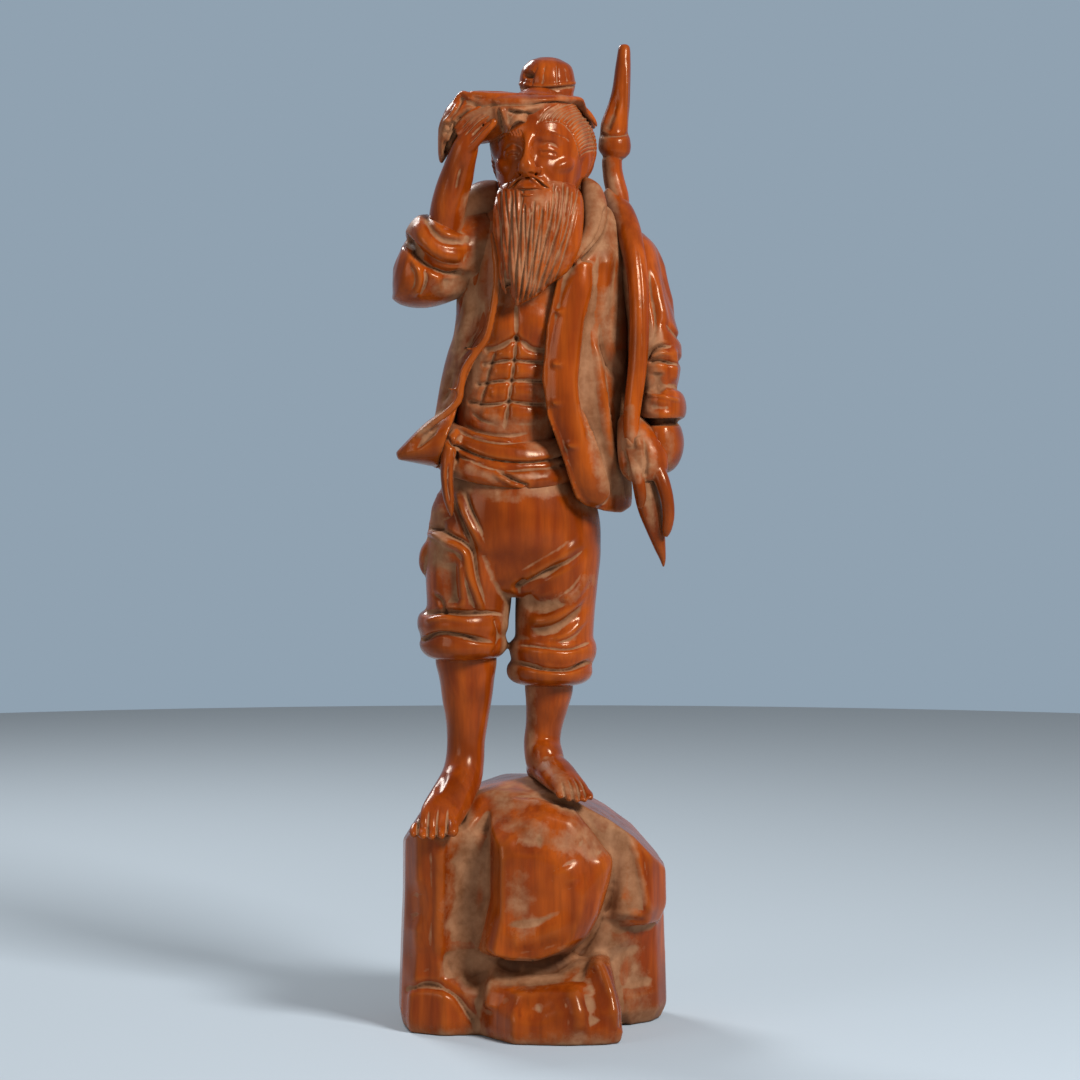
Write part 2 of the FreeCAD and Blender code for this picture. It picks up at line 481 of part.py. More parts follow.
def make_jacket():
    """An open jacket: a shell over the torso with a flying right corner, an open front and a slanting hem."""
    back = (size("jacket_width", -0.02), size("jacket_depth", 0.05), WAIST_Z)
    jacket_sizes = ("jacket_width", "jacket_depth", "jacket_length")
    shell = form("jacket_shell", "Z", back, jacket_sizes, JACKET_SHARES)
    flare = form("jacket_flare", "X", back, jacket_sizes, FLARE_SHARES)
    front_sizes = ("jacket_width", "jacket_length")
    opening = slab("jacket_opening", "XZ_Plane", front_sizes, OPENING_SHARES, size("jacket_depth"),
                   ("0", size("jacket_depth", 0.02), WAIST_Z))
    hem = slab("jacket_hem", "XZ_Plane", front_sizes, HEM_SHARES, size("jacket_depth", 3),
               ("0", "0", WAIST_Z), midplane=True)
    block = less("jacket_block", joined("jacket_mass", [shell, flare]), [opening, hem])
    edges = [form("jacket_edge", "Z", back, jacket_sizes, shares, sides=SMALL_SIDES)
             for shares in (LEFT_EDGE_SHARES, RIGHT_EDGE_SHARES)]
    return joined("jacket_form", [block] + edges)


RIGHT_SLEEVE_SHARES = ((0.0, 0.08, 0.05, 0.47, 0.38), (-0.27, 0.05, -0.06, 0.5, 0.47), (-0.53, -0.05, -0.18, 0.5, 0.51),
                       (-0.73, -0.1, -0.22, 0.45, 0.46), (-0.88, -0.12, -0.2, 0.31, 0.33),
                       (-0.94, -0.12, -0.18, 0.12, 0.13))
ROLL_SHARES = ((0.03, 0.0, -0.05, 0.36, 0.36), (0.03, 0.0, 0.15, 0.47, 0.47), (0.0, 0.0, 0.55, 0.5, 0.5),
               (-0.02, 0.0, 0.85, 0.44, 0.44), (-0.03, 0.0, 1.0, 0.33, 0.33))
FOREARM_SHARES = ((0.0, 0.08, -0.07, 0.46, 0.46), (-0.02, 0.0, 0.14, 0.49, 0.5), (0.17, -0.25, 0.4, 0.385, 0.4),
                  (0.35, -0.5, 0.585, 0.29, 0.315), (0.475, -0.65, 0.69, 0.285, 0.27), (0.6, -0.75, 0.795, 0.38, 0.25),
                  (0.74, -0.83, 0.92, 0.37, 0.22), (0.8, -0.83, 0.98, 0.2, 0.15))
FINGER_COUNT = 4
ELBOW_X = size("sleeve_reach", -0.745)
ELBOW_Y = size("sleeve_depth", -0.22)
ELBOW_Z = total(SHOULDER_Z, size("sleeve_drop", -0.65))


def make_right_sleeve():
    """The sleeve of the raised right arm, rolled up at the elbow."""
    armpit = (size("sleeve_reach", -0.2), "0", total(SHOULDER_Z, size("sleeve_drop", -0.52)))
    upper = form("right_sleeve_upper", "X", armpit, ("sleeve_reach", "sleeve_depth", "sleeve_drop"),
                 RIGHT_SLEEVE_SHARES)
    roll = form("right_sleeve_roll", "Z", (ELBOW_X, ELBOW_Y, ELBOW_Z), ("roll_width", "roll_width", "roll_height"),
                ROLL_SHARES)
    return joined("right_sleeve_form", [upper, roll])


def make_right_forearm():
    """The raised forearm, with a hand whose four fingers press on the head cloth."""
    elbow = (ELBOW_X, ELBOW_Y, ELBOW_Z)
    arm = form("forearm_form", "Z", elbow, ("forearm_girth", "forearm_girth", "forearm_length"), FOREARM_SHARES)
    knuckle_x, knuckle_y, knuckle_z = FOREARM_SHARES[-2][:3]
    knuckles = (total(ELBOW_X, size("forearm_girth", knuckle_x)), total(ELBOW_Y, size("forearm_girth", knuckle_y)),
                total(ELBOW_Z, size("forearm_length", knuckle_z)))
    girths = ("finger_diameter", "finger_diameter", "finger_diameter")
    fingers = []
    for finger in range(FINGER_COUNT):
        rise_share = -0.36 + 0.27 * finger
        back_share = 0.06 * finger
        root = (-0.25 - back_share, 0.0, rise_share, 0.48, 0.48)
        middle = (0.25 - back_share, -0.06, rise_share + 0.12, 0.5, 0.5)
        tip = (0.72 - back_share, 0.02, rise_share + 0.22, 0.3, 0.3)
        fingers.append(form("right_finger", "X", knuckles, ("finger_length", "finger_length", "finger_length"),
                            (root, middle, tip), girths, SMALL_SIDES))
    return joined("right_forearm_form", [arm] + fingers)


LEFT_SLEEVE_SHARES = ((0.076, 0.15, -0.143, 0.106, 0.2), (0.065, 0.14, -0.169, 0.21, 0.35), (0.065, 0.12, -0.218, 0.306, 0.45),
                      (0.094, 0.09, -0.291, 0.335, 0.485), (0.2, 0.03, -0.409, 0.347, 0.5), (0.3, -0.05, -0.549, 0.394, 0.52),
                      (0.33, -0.09, -0.651, 0.365, 0.49), (0.347, -0.12, -0.721, 0.282, 0.4),
                      (0.406, -0.14, -0.741, 0.36, 0.51), (0.406, -0.15, -0.812, 0.37, 0.515),
                      (0.406, -0.15, -0.835, 0.26, 0.4), (0.406, -0.15, -0.853, 0.312, 0.46),
                      (0.4, -0.15, -0.931, 0.335, 0.47), (0.365, -0.15, -0.993, 0.247, 0.37),
                      (0.34, -0.15, -1.018, 0.13, 0.2))
LEFT_HAND_SHARES = ((0.0, 0.1, 0.08, 0.38, 0.5), (-0.04, -0.3, -0.28, 0.46, 0.4), (0.04, -0.5, -0.49, 0.5, 0.36),
                    (0.15, -0.55, -0.67, 0.4, 0.32), (0.33, -0.6, -0.81, 0.22, 0.26), (0.4, -0.65, -0.965, 0.12, 0.16))
THUMB_SHARES = ((-0.15, -0.4, -0.35, 0.25, 0.28), (-0.22, -0.6, -0.52, 0.2, 0.24), (-0.18, -0.66, -0.7, 0.11, 0.13))


def make_left_sleeve():
    """The hanging left sleeve, with two rolls above the hand."""
    top = (size("left_sleeve_width", 1.47), "0", SHOULDER_Z)
    return form("left_sleeve_form", "Z", top, ("left_sleeve_width", "left_sleeve_depth", "left_sleeve_length"),
                LEFT_SLEEVE_SHARES)


def make_left_hand():
    """The left hand: fingers on one side of the hoe handle and the thumb on the other."""
    wrist = (size("left_sleeve_width", 1.65), size("left_sleeve_depth", -0.3), total(WAIST_Z, size("hand_length", 0.36)))
    hand_sizes = ("hand_width", "hand_depth", "hand_length")
    palm = form("left_palm", "Z", wrist, hand_sizes, LEFT_HAND_SHARES)
    thumb = form("left_thumb", "Z", wrist, hand_sizes, THUMB_SHARES, sides=SMALL_SIDES)
    return joined("left_hand_form", [palm, thumb])


HEAD_SHARES = ((0.0, -0.09, 0.0, 0.23, 0.25), (0.0, -0.07, 0.12, 0.365, 0.375), (0.0, -0.035, 0.29, 0.46, 0.465),
               (0.0, 0.0, 0.49, 0.5, 0.5), (0.0, 0.015, 0.69, 0.49, 0.485), (0.01, 0.035, 0.86, 0.395, 0.395),
               (0.02, 0.05, 0.98, 0.18, 0.19))
HAIR_SHARES = ((0.0, 0.16, 0.12, 0.38, 0.34), (0.0, 0.1, 0.3, 0.49, 0.44), (0.0, 0.08, 0.5, 0.535, 0.49),
               (0.0, 0.06, 0.7, 0.53, 0.49), (0.01, 0.06, 0.87, 0.44, 0.42), (0.02, 0.06, 0.99, 0.2, 0.21))
NOSE_SHARES = ((0.0, 0.1, 0.0, 0.28, 0.25), (0.0, -0.12, 0.14, 0.3, 0.3), (0.0, 0.1, 1.0, 0.14, 0.2))
EAR_SHARES = ((0.0, 0.0, -0.5, 0.12, 0.14), (0.05, 0.0, -0.1, 0.22, 0.26), (0.1, 0.02, 0.3, 0.26, 0.32),
              (0.05, 0.02, 0.5, 0.14, 0.18))


def make_head():
    """Head with swept-back hair, a plain nose and two ears. The neck and its peg are let into it."""
    chin = (HEAD_X, HEAD_Y, CHIN_Z)
    head_sizes = ("head_width", "head_depth", "head_height")
    skull = form("skull", "Z", chin, head_sizes, HEAD_SHARES)
    hair = form("hair", "Z", chin, head_sizes, HAIR_SHARES)
    nose_at = (HEAD_X, total(HEAD_Y, size("head_depth", -0.49)), total(CHIN_Z, size("head_height", 0.36)))
    nose = form("nose", "Z", nose_at, ("nose_height", "nose_height", "nose_height"), NOSE_SHARES,
                sides=SMALL_SIDES)
    ears = []
    for side in (-1, 1):
        ear_at = (total(HEAD_X, size("head_width", 0.5 * side)), total(HEAD_Y, size("head_depth", 0.02)),
                  total(CHIN_Z, size("head_height", 0.47)))
        ears.append(form("ear", "Z", ear_at, ("ear_height", "ear_height", "ear_height"), EAR_SHARES,
                         sides=SMALL_SIDES))
    return joined("head_form", [skull, hair, nose] + ears)


# The topknot's half outline: shares of its width and height, turned about the upright through its middle.
TOPKNOT_SHARES = ((0.0, 0.0), (0.464, 0.0), (0.471, 0.285), (0.5, 0.385), (0.5, 0.56), (0.449, 0.746), (0.355, 0.87),
                  (0.188, 0.946), (0.0, 0.97))


def make_topknot():
    """The topknot: a turned bun with a band round its root."""
    body = body_at("topknot_form", total(HEAD_X, size("knot_width", 0.12)), total(HEAD_Y, size("head_depth", 0.18)),
                   total(CROWN_Z, size("knot_height", -0.42)))
    turned = body.newObject("PartDesign::Revolution", "topknot_turned")
    turned.Profile = outline(body, "XZ_Plane", ("knot_width", "knot_height"), TOPKNOT_SHARES)
    turned.ReferenceAxis = (turned.Profile[0], ["V_Axis"])
    turned.Angle = 360
    return body


BEARD_SHARES = ((0.02, 0.1, 1.0, 0.42, 0.38), (0.02, 0.0, 0.8, 0.5, 0.5), (0.0, 0.0, 0.53, 0.49, 0.48),
                (-0.045, 0.02, 0.3, 0.37, 0.4), (-0.11, 0.05, 0.13, 0.21, 0.3), (-0.17, 0.08, 0.0, 0.05, 0.1))
CLOTH_SHARES = ((-0.505, -0.09, -0.5, 0.11, 0.19), (-0.405, -0.09, -0.2, 0.26, 0.43), (-0.215, -0.055, 0.03, 0.41, 0.41),
                (0.0, 0.02, 0.15, 0.48, 0.38), (0.215, 0.055, 0.15, 0.5, 0.34), (0.38, 0.09, 0.0, 0.44, 0.34),
                (0.476, 0.13, -0.22, 0.3, 0.28))


def make_beard():
    """The long beard, hanging from the jaw over the chest."""
    tip = (size("beard_width", 0.045), size("beard_depth", -1.27), total(CHIN_Z, size("beard_length", -0.65)))
    return form("beard_form", "Z", tip, ("beard_width", "beard_depth", "beard_length"), BEARD_SHARES)


def make_cloth():
    """The cloth drawn over the crown and held out to the right."""
    middle = (total(HEAD_X, size("cloth_width", -0.12)), HEAD_Y, total(CROWN_Z, size("cloth_height", -0.36)))
    return form("cloth_form", "X", middle, ("cloth_width", "cloth_depth", "cloth_height"), CLOTH_SHARES)


HANDLE_SHARES = ((0.76, 0.46, 0.1, 0.5, 0.5), (0.745, 0.37, 0.02, 0.46, 0.46), (0.82, 0.0, -0.04, 0.55, 0.55),
                 (0.91, -0.5, -0.11, 0.55, 0.55), (0.985, -0.8, -0.23, 0.48, 0.48), (1.0, -0.92, -0.36, 0.46, 0.46),
                 (0.97, -0.96, -0.48, 0.46, 0.46), (0.915, -1.0, -0.57, 0.45, 0.45), (0.94, -0.96, -0.65, 0.43, 0.43),
                 (1.07, -0.87, -0.75, 0.46, 0.46), (1.2, -0.82, -0.84, 0.3, 0.3), (1.245, -0.8, -0.89, 0.1, 0.1))
# A blade section is a rectangle with bevelled corners. From the collar to the edge, each has its height, its
# sideways lean, and its half width and depth.
BLADE_CORNER_SHARES = ((-1, 0.6), (-1, -0.6), (-0.6, -1), (0.6, -1), (1, -0.6), (1, 0.6), (0.6, 1), (-0.6, 1))
BLADE_SHARES = ((0.0, 0.0, 0.3, 0.34), (0.07, 0.0, 0.47, 0.5), (0.2, 0.01, 0.47, 0.5), (0.27, 0.03, 0.42, 0.42),
                (0.5, 0.13, 0.33, 0.3), (0.78, 0.26, 0.24, 0.2), (1.0, 0.36, 0.17, 0.13))


def make_handle():
    """The hoe's bent handle: a tenon in the collar, over the shoulder, through the hand and out to a point."""
    girths = ("handle_diameter", "handle_diameter", "handle_diameter")
    return form("handle_form", "Z", ("0", "0", SHOULDER_Z), ("handle_side", "handle_front", "handle_length"),
                HANDLE_SHARES, girths, SMALL_SIDES)


def make_blade():
    """The hoe's wedge-shaped blade, standing on its collar."""
    collar = (size("handle_side", 0.755), size("handle_front", 0.48), total(SHOULDER_Z, size("handle_length", 0.045)))
    sections = []
    for rise, lean, half_width, half_depth in BLADE_SHARES:
        corners = [(half_width * u, half_depth * v) for u, v in BLADE_CORNER_SHARES]
        centre = (total(collar[0], size("blade_width", lean)), collar[1], total(collar[2], size("blade_length", rise)))
        sections.append(section("Z", centre, ("blade_width", "blade_depth"), corners))
    return lofted("blade_form", sections)


def make_pegs():
    """The bamboo pegs, each centred on the joint that it crosses."""
    across = Rotation(Vector(0, 1, 0), 90)
    return {
        "right_foot": peg("right_foot_peg", "foot_peg_diameter", "foot_peg_length", RIGHT_LEG_X,
                          size("shin_depth", 0.16), total(RIGHT_SOLE_Z, size("foot_peg_length", 0.15))),
        "left_foot": peg("left_foot_peg", "foot_peg_diameter", "foot_peg_length", LEFT_LEG_X,
                         size("shin_depth", 0.28), total(LEFT_SOLE_Z, size("foot_peg_length", 0.05))),
        "waist": peg("waist_peg", "body_peg_diameter", "body_peg_length", WAIST_X, size("torso_depth", 0.05), WAIST_Z),
        "neck": peg("neck_peg", "neck_peg_diameter", "neck_peg_length", HEAD_X, "0",
                    total(SHOULDER_Z, size("torso_length", 0.13))),
        "sleeve": peg("right_sleeve_peg", "arm_peg_diameter", "arm_peg_length", size("torso_width", -0.27), "0",
                      total(SHOULDER_Z, size("sleeve_drop", -0.55)), across),
        "elbow": peg("right_elbow_peg", "arm_peg_diameter", "arm_peg_length", ELBOW_X, ELBOW_Y, ELBOW_Z),
    }


def make_pieces():
    """Every piece of the carving, as (node name, document object or objects)."""
    rock = make_rock()
    right_leg, right_shin = make_leg("right_leg", RIGHT_LEG_X, RIGHT_SOLE_Z, RIGHT_SHIN_SHARES, RIGHT_FOOT_SHARES, -0.05)
    left_leg, left_shin = make_leg("left_leg", LEFT_LEG_X, LEFT_SOLE_Z, LEFT_SHIN_SHARES, LEFT_FOOT_SHARES, 0.05)
    trousers = make_trousers()
    torso = make_torso()
    sash = make_sash()
    jacket = make_jacket()
    right_sleeve = make_right_sleeve()
    forearm = make_right_forearm()
    left_sleeve = make_left_sleeve()
    left_hand = make_left_hand()
    head = make_head()
    topknot = make_topknot()
    beard = make_beard()
    cloth = make_cloth()
    handle = make_handle()
    blade = make_blade()
    pegs = make_pegs()
    return (
        ("rock_base", [less("rock_base", rock, [pegs["right_foot"], pegs["left_foot"]])]),
        ("right_leg", [less("right_leg", right_leg, [rock, pegs["right_foot"]])]),
        ("left_leg", [less("left_leg", left_leg, [rock, pegs["left_foot"]])]),
        ("trousers", [less("trousers", trousers, [pegs["waist"], torso, right_shin, left_shin])]),
        ("waist_sash", [less("waist_sash", sash, [torso, trousers])]),
        ("torso", [less("torso", torso, [pegs["waist"], pegs["neck"], pegs["sleeve"]])]),
        ("jacket", [less("jacket", jacket, [handle, blade, head, beard, sash, right_sleeve, left_sleeve, trousers,
                                            torso])]),
        ("right_sleeve", [less("right_sleeve", right_sleeve, [pegs["sleeve"], pegs["elbow"], torso, forearm])]),
        ("left_sleeve", [less("left_sleeve", left_sleeve, [torso, handle, left_hand])]),
        ("right_forearm", [less("right_forearm", forearm, [pegs["elbow"]])]),
        ("left_hand", [less("left_hand", left_hand, [handle])]),
        ("head", [less("head", head, [pegs["neck"], torso])]),
        ("topknot", [less("topknot", topknot, [head])]),
        ("headcloth", [less("headcloth", cloth, [head, topknot, forearm])]),
        ("beard", [less("beard", beard, [head, torso])]),
        ("hoe_handle", [less("hoe_handle", handle, [])]),
        ("hoe_blade", [less("hoe_blade", blade, [handle])]),
        ("foot_pegs", [pegs["right_foot"], pegs["left_foot"]]),
        ("waist_peg", [pegs["waist"]]),
        ("neck_peg", [pegs["neck"]]),
        ("arm_pegs", [pegs["sleeve"], pegs["elbow"]]),
    )


def check_and_export(pieces, folder="parts"):
    """Stops on any failed object or bad shape, then writes one STEP file for each piece."""
    DOC.recompute()
    failed = [item.Label for item in DOC.Objects if "Invalid" in item.State or "Error" in item.State]
    if failed:
        raise SystemExit("failed: %s" % failed)
    os.makedirs(folder, exist_ok=True)
    for name, objects in pieces:
        solids = [solid for item in objects for solid in item.Shape.Solids]
        whole = Part.makeCompound(solids) if len(solids) > 1 else solids[0]
        if whole.isNull() or not whole.isValid():
            raise SystemExit("%s has a bad shape" % name)
        whole.exportStep(os.path.join(folder, name + ".step"))
        print(name, "solids", len(solids), "volume", round(whole.Volume), whole.BoundBox)


check_and_export(make_pieces())
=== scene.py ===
"""An old farmer carved in boxwood, with a hoe over his shoulder and a cloth on his brow.

Each piece is worked as a carver works it. It is roughed out from round limbs and flat-cut blocks, its skin is
made even, and gouge strokes cut the folds, hair and fingers. Forms are in millimetres and turned into metres
at the end. What is drawn on the front is given in the picture's pixels, as seen from the camera.
"""
import math
import bmesh
import bpy
import numpy as np
from mathutils import Matrix, Vector


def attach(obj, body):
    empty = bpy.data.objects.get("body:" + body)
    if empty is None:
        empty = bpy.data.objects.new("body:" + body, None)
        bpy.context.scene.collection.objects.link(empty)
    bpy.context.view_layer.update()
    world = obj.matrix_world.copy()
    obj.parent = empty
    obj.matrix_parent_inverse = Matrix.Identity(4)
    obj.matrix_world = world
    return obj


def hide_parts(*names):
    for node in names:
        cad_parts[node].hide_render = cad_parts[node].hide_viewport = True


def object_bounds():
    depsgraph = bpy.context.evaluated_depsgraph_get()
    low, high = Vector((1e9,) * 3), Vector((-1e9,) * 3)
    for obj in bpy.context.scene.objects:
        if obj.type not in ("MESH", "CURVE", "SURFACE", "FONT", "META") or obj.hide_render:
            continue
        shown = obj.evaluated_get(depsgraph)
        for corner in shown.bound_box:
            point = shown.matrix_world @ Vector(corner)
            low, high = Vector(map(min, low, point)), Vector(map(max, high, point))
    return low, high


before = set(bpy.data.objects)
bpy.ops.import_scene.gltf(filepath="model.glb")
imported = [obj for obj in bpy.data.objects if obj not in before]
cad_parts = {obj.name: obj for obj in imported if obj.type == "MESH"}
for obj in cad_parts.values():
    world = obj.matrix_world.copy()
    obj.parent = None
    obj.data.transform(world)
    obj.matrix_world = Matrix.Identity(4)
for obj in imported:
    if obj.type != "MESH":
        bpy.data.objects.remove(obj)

CAD_BOX = [list(corner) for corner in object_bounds()]
CARVING_HEIGHT = 245.48
MM = (CAD_BOX[1][2] - CAD_BOX[0][2]) / CARVING_HEIGHT

# The camera, in millimetres and radians, and the picture that it takes, in pixels.
CAMERA_AT = (1.754, -850.0, 160.0)
CAMERA_TILT = 0.04472
FOCAL_PX = 3409.3
PICTURE_PX = 1080

TO_VIEWER = (0, -1, 0)
UPWARD = (0, 0, 1)
# No part of a limb is thinner than this.
THINNEST = 0.05

# The face has its own axes: u to the viewer's right, w forward and v up, round the head's middle.
HEAD_X, HEAD_Y = 2.0, -4.6
HEAD_TURN = math.radians(13)
FACE_RIGHT = (math.cos(HEAD_TURN), -math.sin(HEAD_TURN), 0)
FACE_FRONT = (-math.sin(HEAD_TURN), -math.cos(HEAD_TURN), 0)


# ---------- seeing

def to_picture(points):
    """Where points in millimetres fall in the picture, in pixels."""
    away = points - np.array(CAMERA_AT)
    ahead = away[:, 1] * math.cos(CAMERA_TILT) - away[:, 2] * math.sin(CAMERA_TILT)
    above = away[:, 1] * math.sin(CAMERA_TILT) + away[:, 2] * math.cos(CAMERA_TILT)
    middle = PICTURE_PX / 2
    return np.stack([middle + FOCAL_PX * away[:, 0] / ahead, middle - FOCAL_PX * above / ahead], axis=1)


def seen_at(px, py, depth):
    """The point in millimetres that shows at a pixel and lies at a depth along Y."""
    middle = PICTURE_PX / 2
    across, drop = (px - middle) / FOCAL_PX, (py - middle) / FOCAL_PX
    ray_y = math.cos(CAMERA_TILT) - drop * math.sin(CAMERA_TILT)
    ray_z = -math.sin(CAMERA_TILT) - drop * math.cos(CAMERA_TILT)
    reach = (depth - CAMERA_AT[1]) / ray_y
    return (CAMERA_AT[0] + across * reach, depth, CAMERA_AT[2] + ray_z * reach)


def px_to_mm(width_px, depth):
    """How wide something is in millimetres that lies at a depth and looks so many pixels wide."""
    return width_px * (depth - CAMERA_AT[1]) / FOCAL_PX


def to_face(points):
    """Where points fall on the face, as seen from straight before it."""
    away = points - np.array((HEAD_X, HEAD_Y, 0))
    return np.stack([away @ np.array(FACE_RIGHT), points[:, 2]], axis=1)


def on_face(u, w, v):
    """The point in millimetres at a place in the face's own axes."""
    return (HEAD_X + u * FACE_RIGHT[0] + w * FACE_FRONT[0],
            HEAD_Y + u * FACE_RIGHT[1] + w * FACE_FRONT[1], v)


# Each view: how it flattens points, and the way to whoever looks.
VIEWS = {
    "picture": (to_picture, TO_VIEWER),
    "face": (to_face, FACE_FRONT),
    "back": (lambda points: points[:, [0, 2]], (0, 1, 0)),
    "left": (lambda points: points[:, [1, 2]], (-1, 0, 0)),
    "right": (lambda points: points[:, [1, 2]], (1, 0, 0)),
    "top": (lambda points: points[:, [0, 1]], UPWARD),
}


# ---------- roughing out

def eased(rows, step):
    """More rows along a smooth curve through the given ones. A row's first three numbers are its place."""
    rows = np.array(rows, float)
    padded = np.vstack([2 * rows[0] - rows[1], rows, 2 * rows[-1] - rows[-2]])
    fine = []
    for before, start, end, after in zip(padded, padded[1:], padded[2:], padded[3:]):
        pieces = max(1, int(math.ceil(np.linalg.norm((end - start)[:3]) / step)))
        for t in np.arange(pieces) / pieces:
            fine.append(0.5 * (2 * start + (end - before) * t
                               + (2 * before - 5 * start + 4 * end - after) * t ** 2
                               + (3 * start - before - 3 * end + after) * t ** 3))
    fine.append(rows[-1])
    return np.array(fine)


def limb(bm, rows, facing=TO_VIEWER, sides=28, step=1.6):
    """A round limb. Each row: a place, then the half width across and the half depth along facing."""
    path = eased(rows, step)
    facing = Vector(facing)
    behind = None
    headings = np.gradient(path[:, :3], axis=0)
    for row, heading in zip(path, headings):
        along = Vector(heading).normalized()
        deep = (facing - along * along.dot(facing)).normalized()
        across = deep.cross(along)
        wide, thick = max(row[3], THINNEST), max(row[4], THINNEST)
        turned = Matrix((across * wide, deep * thick, along)).transposed().to_4x4()
        turned.translation = Vector(row[:3])
        ring = bmesh.ops.create_circle(bm, segments=sides, radius=1, matrix=turned)["verts"]
        edges = list(dict.fromkeys(edge for vert in ring for edge in vert.link_edges))
        if behind:
            bmesh.ops.bridge_loops(bm, edges=behind + edges)
        else:
            bmesh.ops.edgeloop_fill(bm, edges=edges)
        behind = edges
    bmesh.ops.edgeloop_fill(bm, edges=behind)


def stack(bm, rows, **more):
    """An upright limb. Each row: its height, then its middle and half sizes along X and Y."""
    limb(bm, [(x, y, z, half_x, half_y) for z, x, y, half_x, half_y in rows], **more)


def sheaf(bm, rows, **more):
    """A limb along X. Each row: its place along X, then its middle and half sizes along Y and Z."""
    limb(bm, [(x, y, z, half_z, half_y) for x, y, z, half_y, half_z in rows], **more)


def seen_limb(bm, rows_px, **more):
    """A limb that is drawn in the picture. Each row: pixel, depth, half width in pixels, half depth."""
    limb(bm, [(*seen_at(px, py, depth), px_to_mm(half_px, depth), half_deep)
              for px, py, depth, half_px, half_deep in rows_px], **more)


def strand(bm, rows, step=0.8):
    """A round strand. Each row: a place and a radius."""
    limb(bm, [(*row[:3], row[3], row[3]) for row in rows], sides=12, step=step)


def seen_strand(bm, rows_px, step=0.8):
    """A strand that is drawn in the picture. Each row: pixel, depth and half width in pixels."""
    strand(bm, [(*seen_at(px, py, depth), px_to_mm(half_px, depth))
                for px, py, depth, half_px in rows_px], step)


def prism(bm, outline, near, far, along="y"):
    """A straight-sided solid from one place to another along an axis, with its outline in the other two."""
    order = {"x": lambda u, v: (near, u, v), "y": lambda u, v: (u, near, v)}[along]
    face = bm.faces.new([bm.verts.new(order(u, v)) for u, v in outline])
    solid = bmesh.ops.extrude_face_region(bm, geom=[face], use_keep_orig=True)
    moved = [item for item in solid["geom"] if isinstance(item, bmesh.types.BMVert)]
    push = far - near
    bmesh.ops.translate(bm, verts=moved, vec=(push, 0, 0) if along == "x" else (0, push, 0))


def mass(bm, origin, outline, levels, forward=False):
    """Flat facets between levels of one outline. Each level: its rise, scale and shift along both axes."""
    def middle(level):
        rise, _, shift_u, shift_v = level
        return Vector(origin) + Vector((shift_u, -rise, shift_v) if forward else (shift_u, shift_v, rise))

    first = levels[0]
    corners = [middle(first) + first[1] * Vector((u, 0, v) if forward else (u, v, 0)) for u, v in outline]
    top = bm.faces.new([bm.verts.new(corner) for corner in corners])
    for before, after in zip(levels, levels[1:]):
        grown = bmesh.ops.extrude_face_region(bm, geom=[top])["geom"]
        top = next(item for item in grown if isinstance(item, bmesh.types.BMFace))
        step = (Matrix.Translation(middle(after)) @ Matrix.Scale(after[1] / before[1], 4)
                @ Matrix.Translation(-middle(before)))
        bmesh.ops.transform(bm, matrix=step, verts=top.verts)


def placed(name, data):
    """A new object in the scene."""
    made = bpy.data.objects.new(name, data)
    bpy.context.scene.collection.objects.link(made)
    return made


def rough(name, shape):
    """A piece as it is roughed out, before its skin is made even."""
    bm = bmesh.new()
    shape(bm)
    bmesh.ops.recalc_face_normals(bm, faces=bm.faces)
    mesh = bpy.data.meshes.new(name)
    bm.to_mesh(mesh)
    bm.free()
    return placed(name, mesh)


def even_skin(piece, grain):
    """Joins all that a piece is made of under one even skin."""
    skin = piece.modifiers.new("skin", "REMESH")
    skin.mode, skin.voxel_size = "VOXEL", grain


def numbers(items, name, kind, width):
    """What a mesh's points, edges or corners hold, a row for each."""
    values = np.empty(len(items) * width, kind)
    items.foreach_get(name, values)
    return values.reshape(-1, width)


# A stroke bites fully where the wood faces the view, and fades out just past its edge.
BITE_PAST_EDGE, BITE_RISE = 0.1, 3
# Steps that even the skin. The second gives back the size that the first takes away.
EVENING = (0.6, -0.62)
# Hollows of three sizes: how far they are smoothed out to find them, and how much each counts.
HOLLOW_SIZES = ((3, 5.0), (10, 2.2), (34, 0.8))


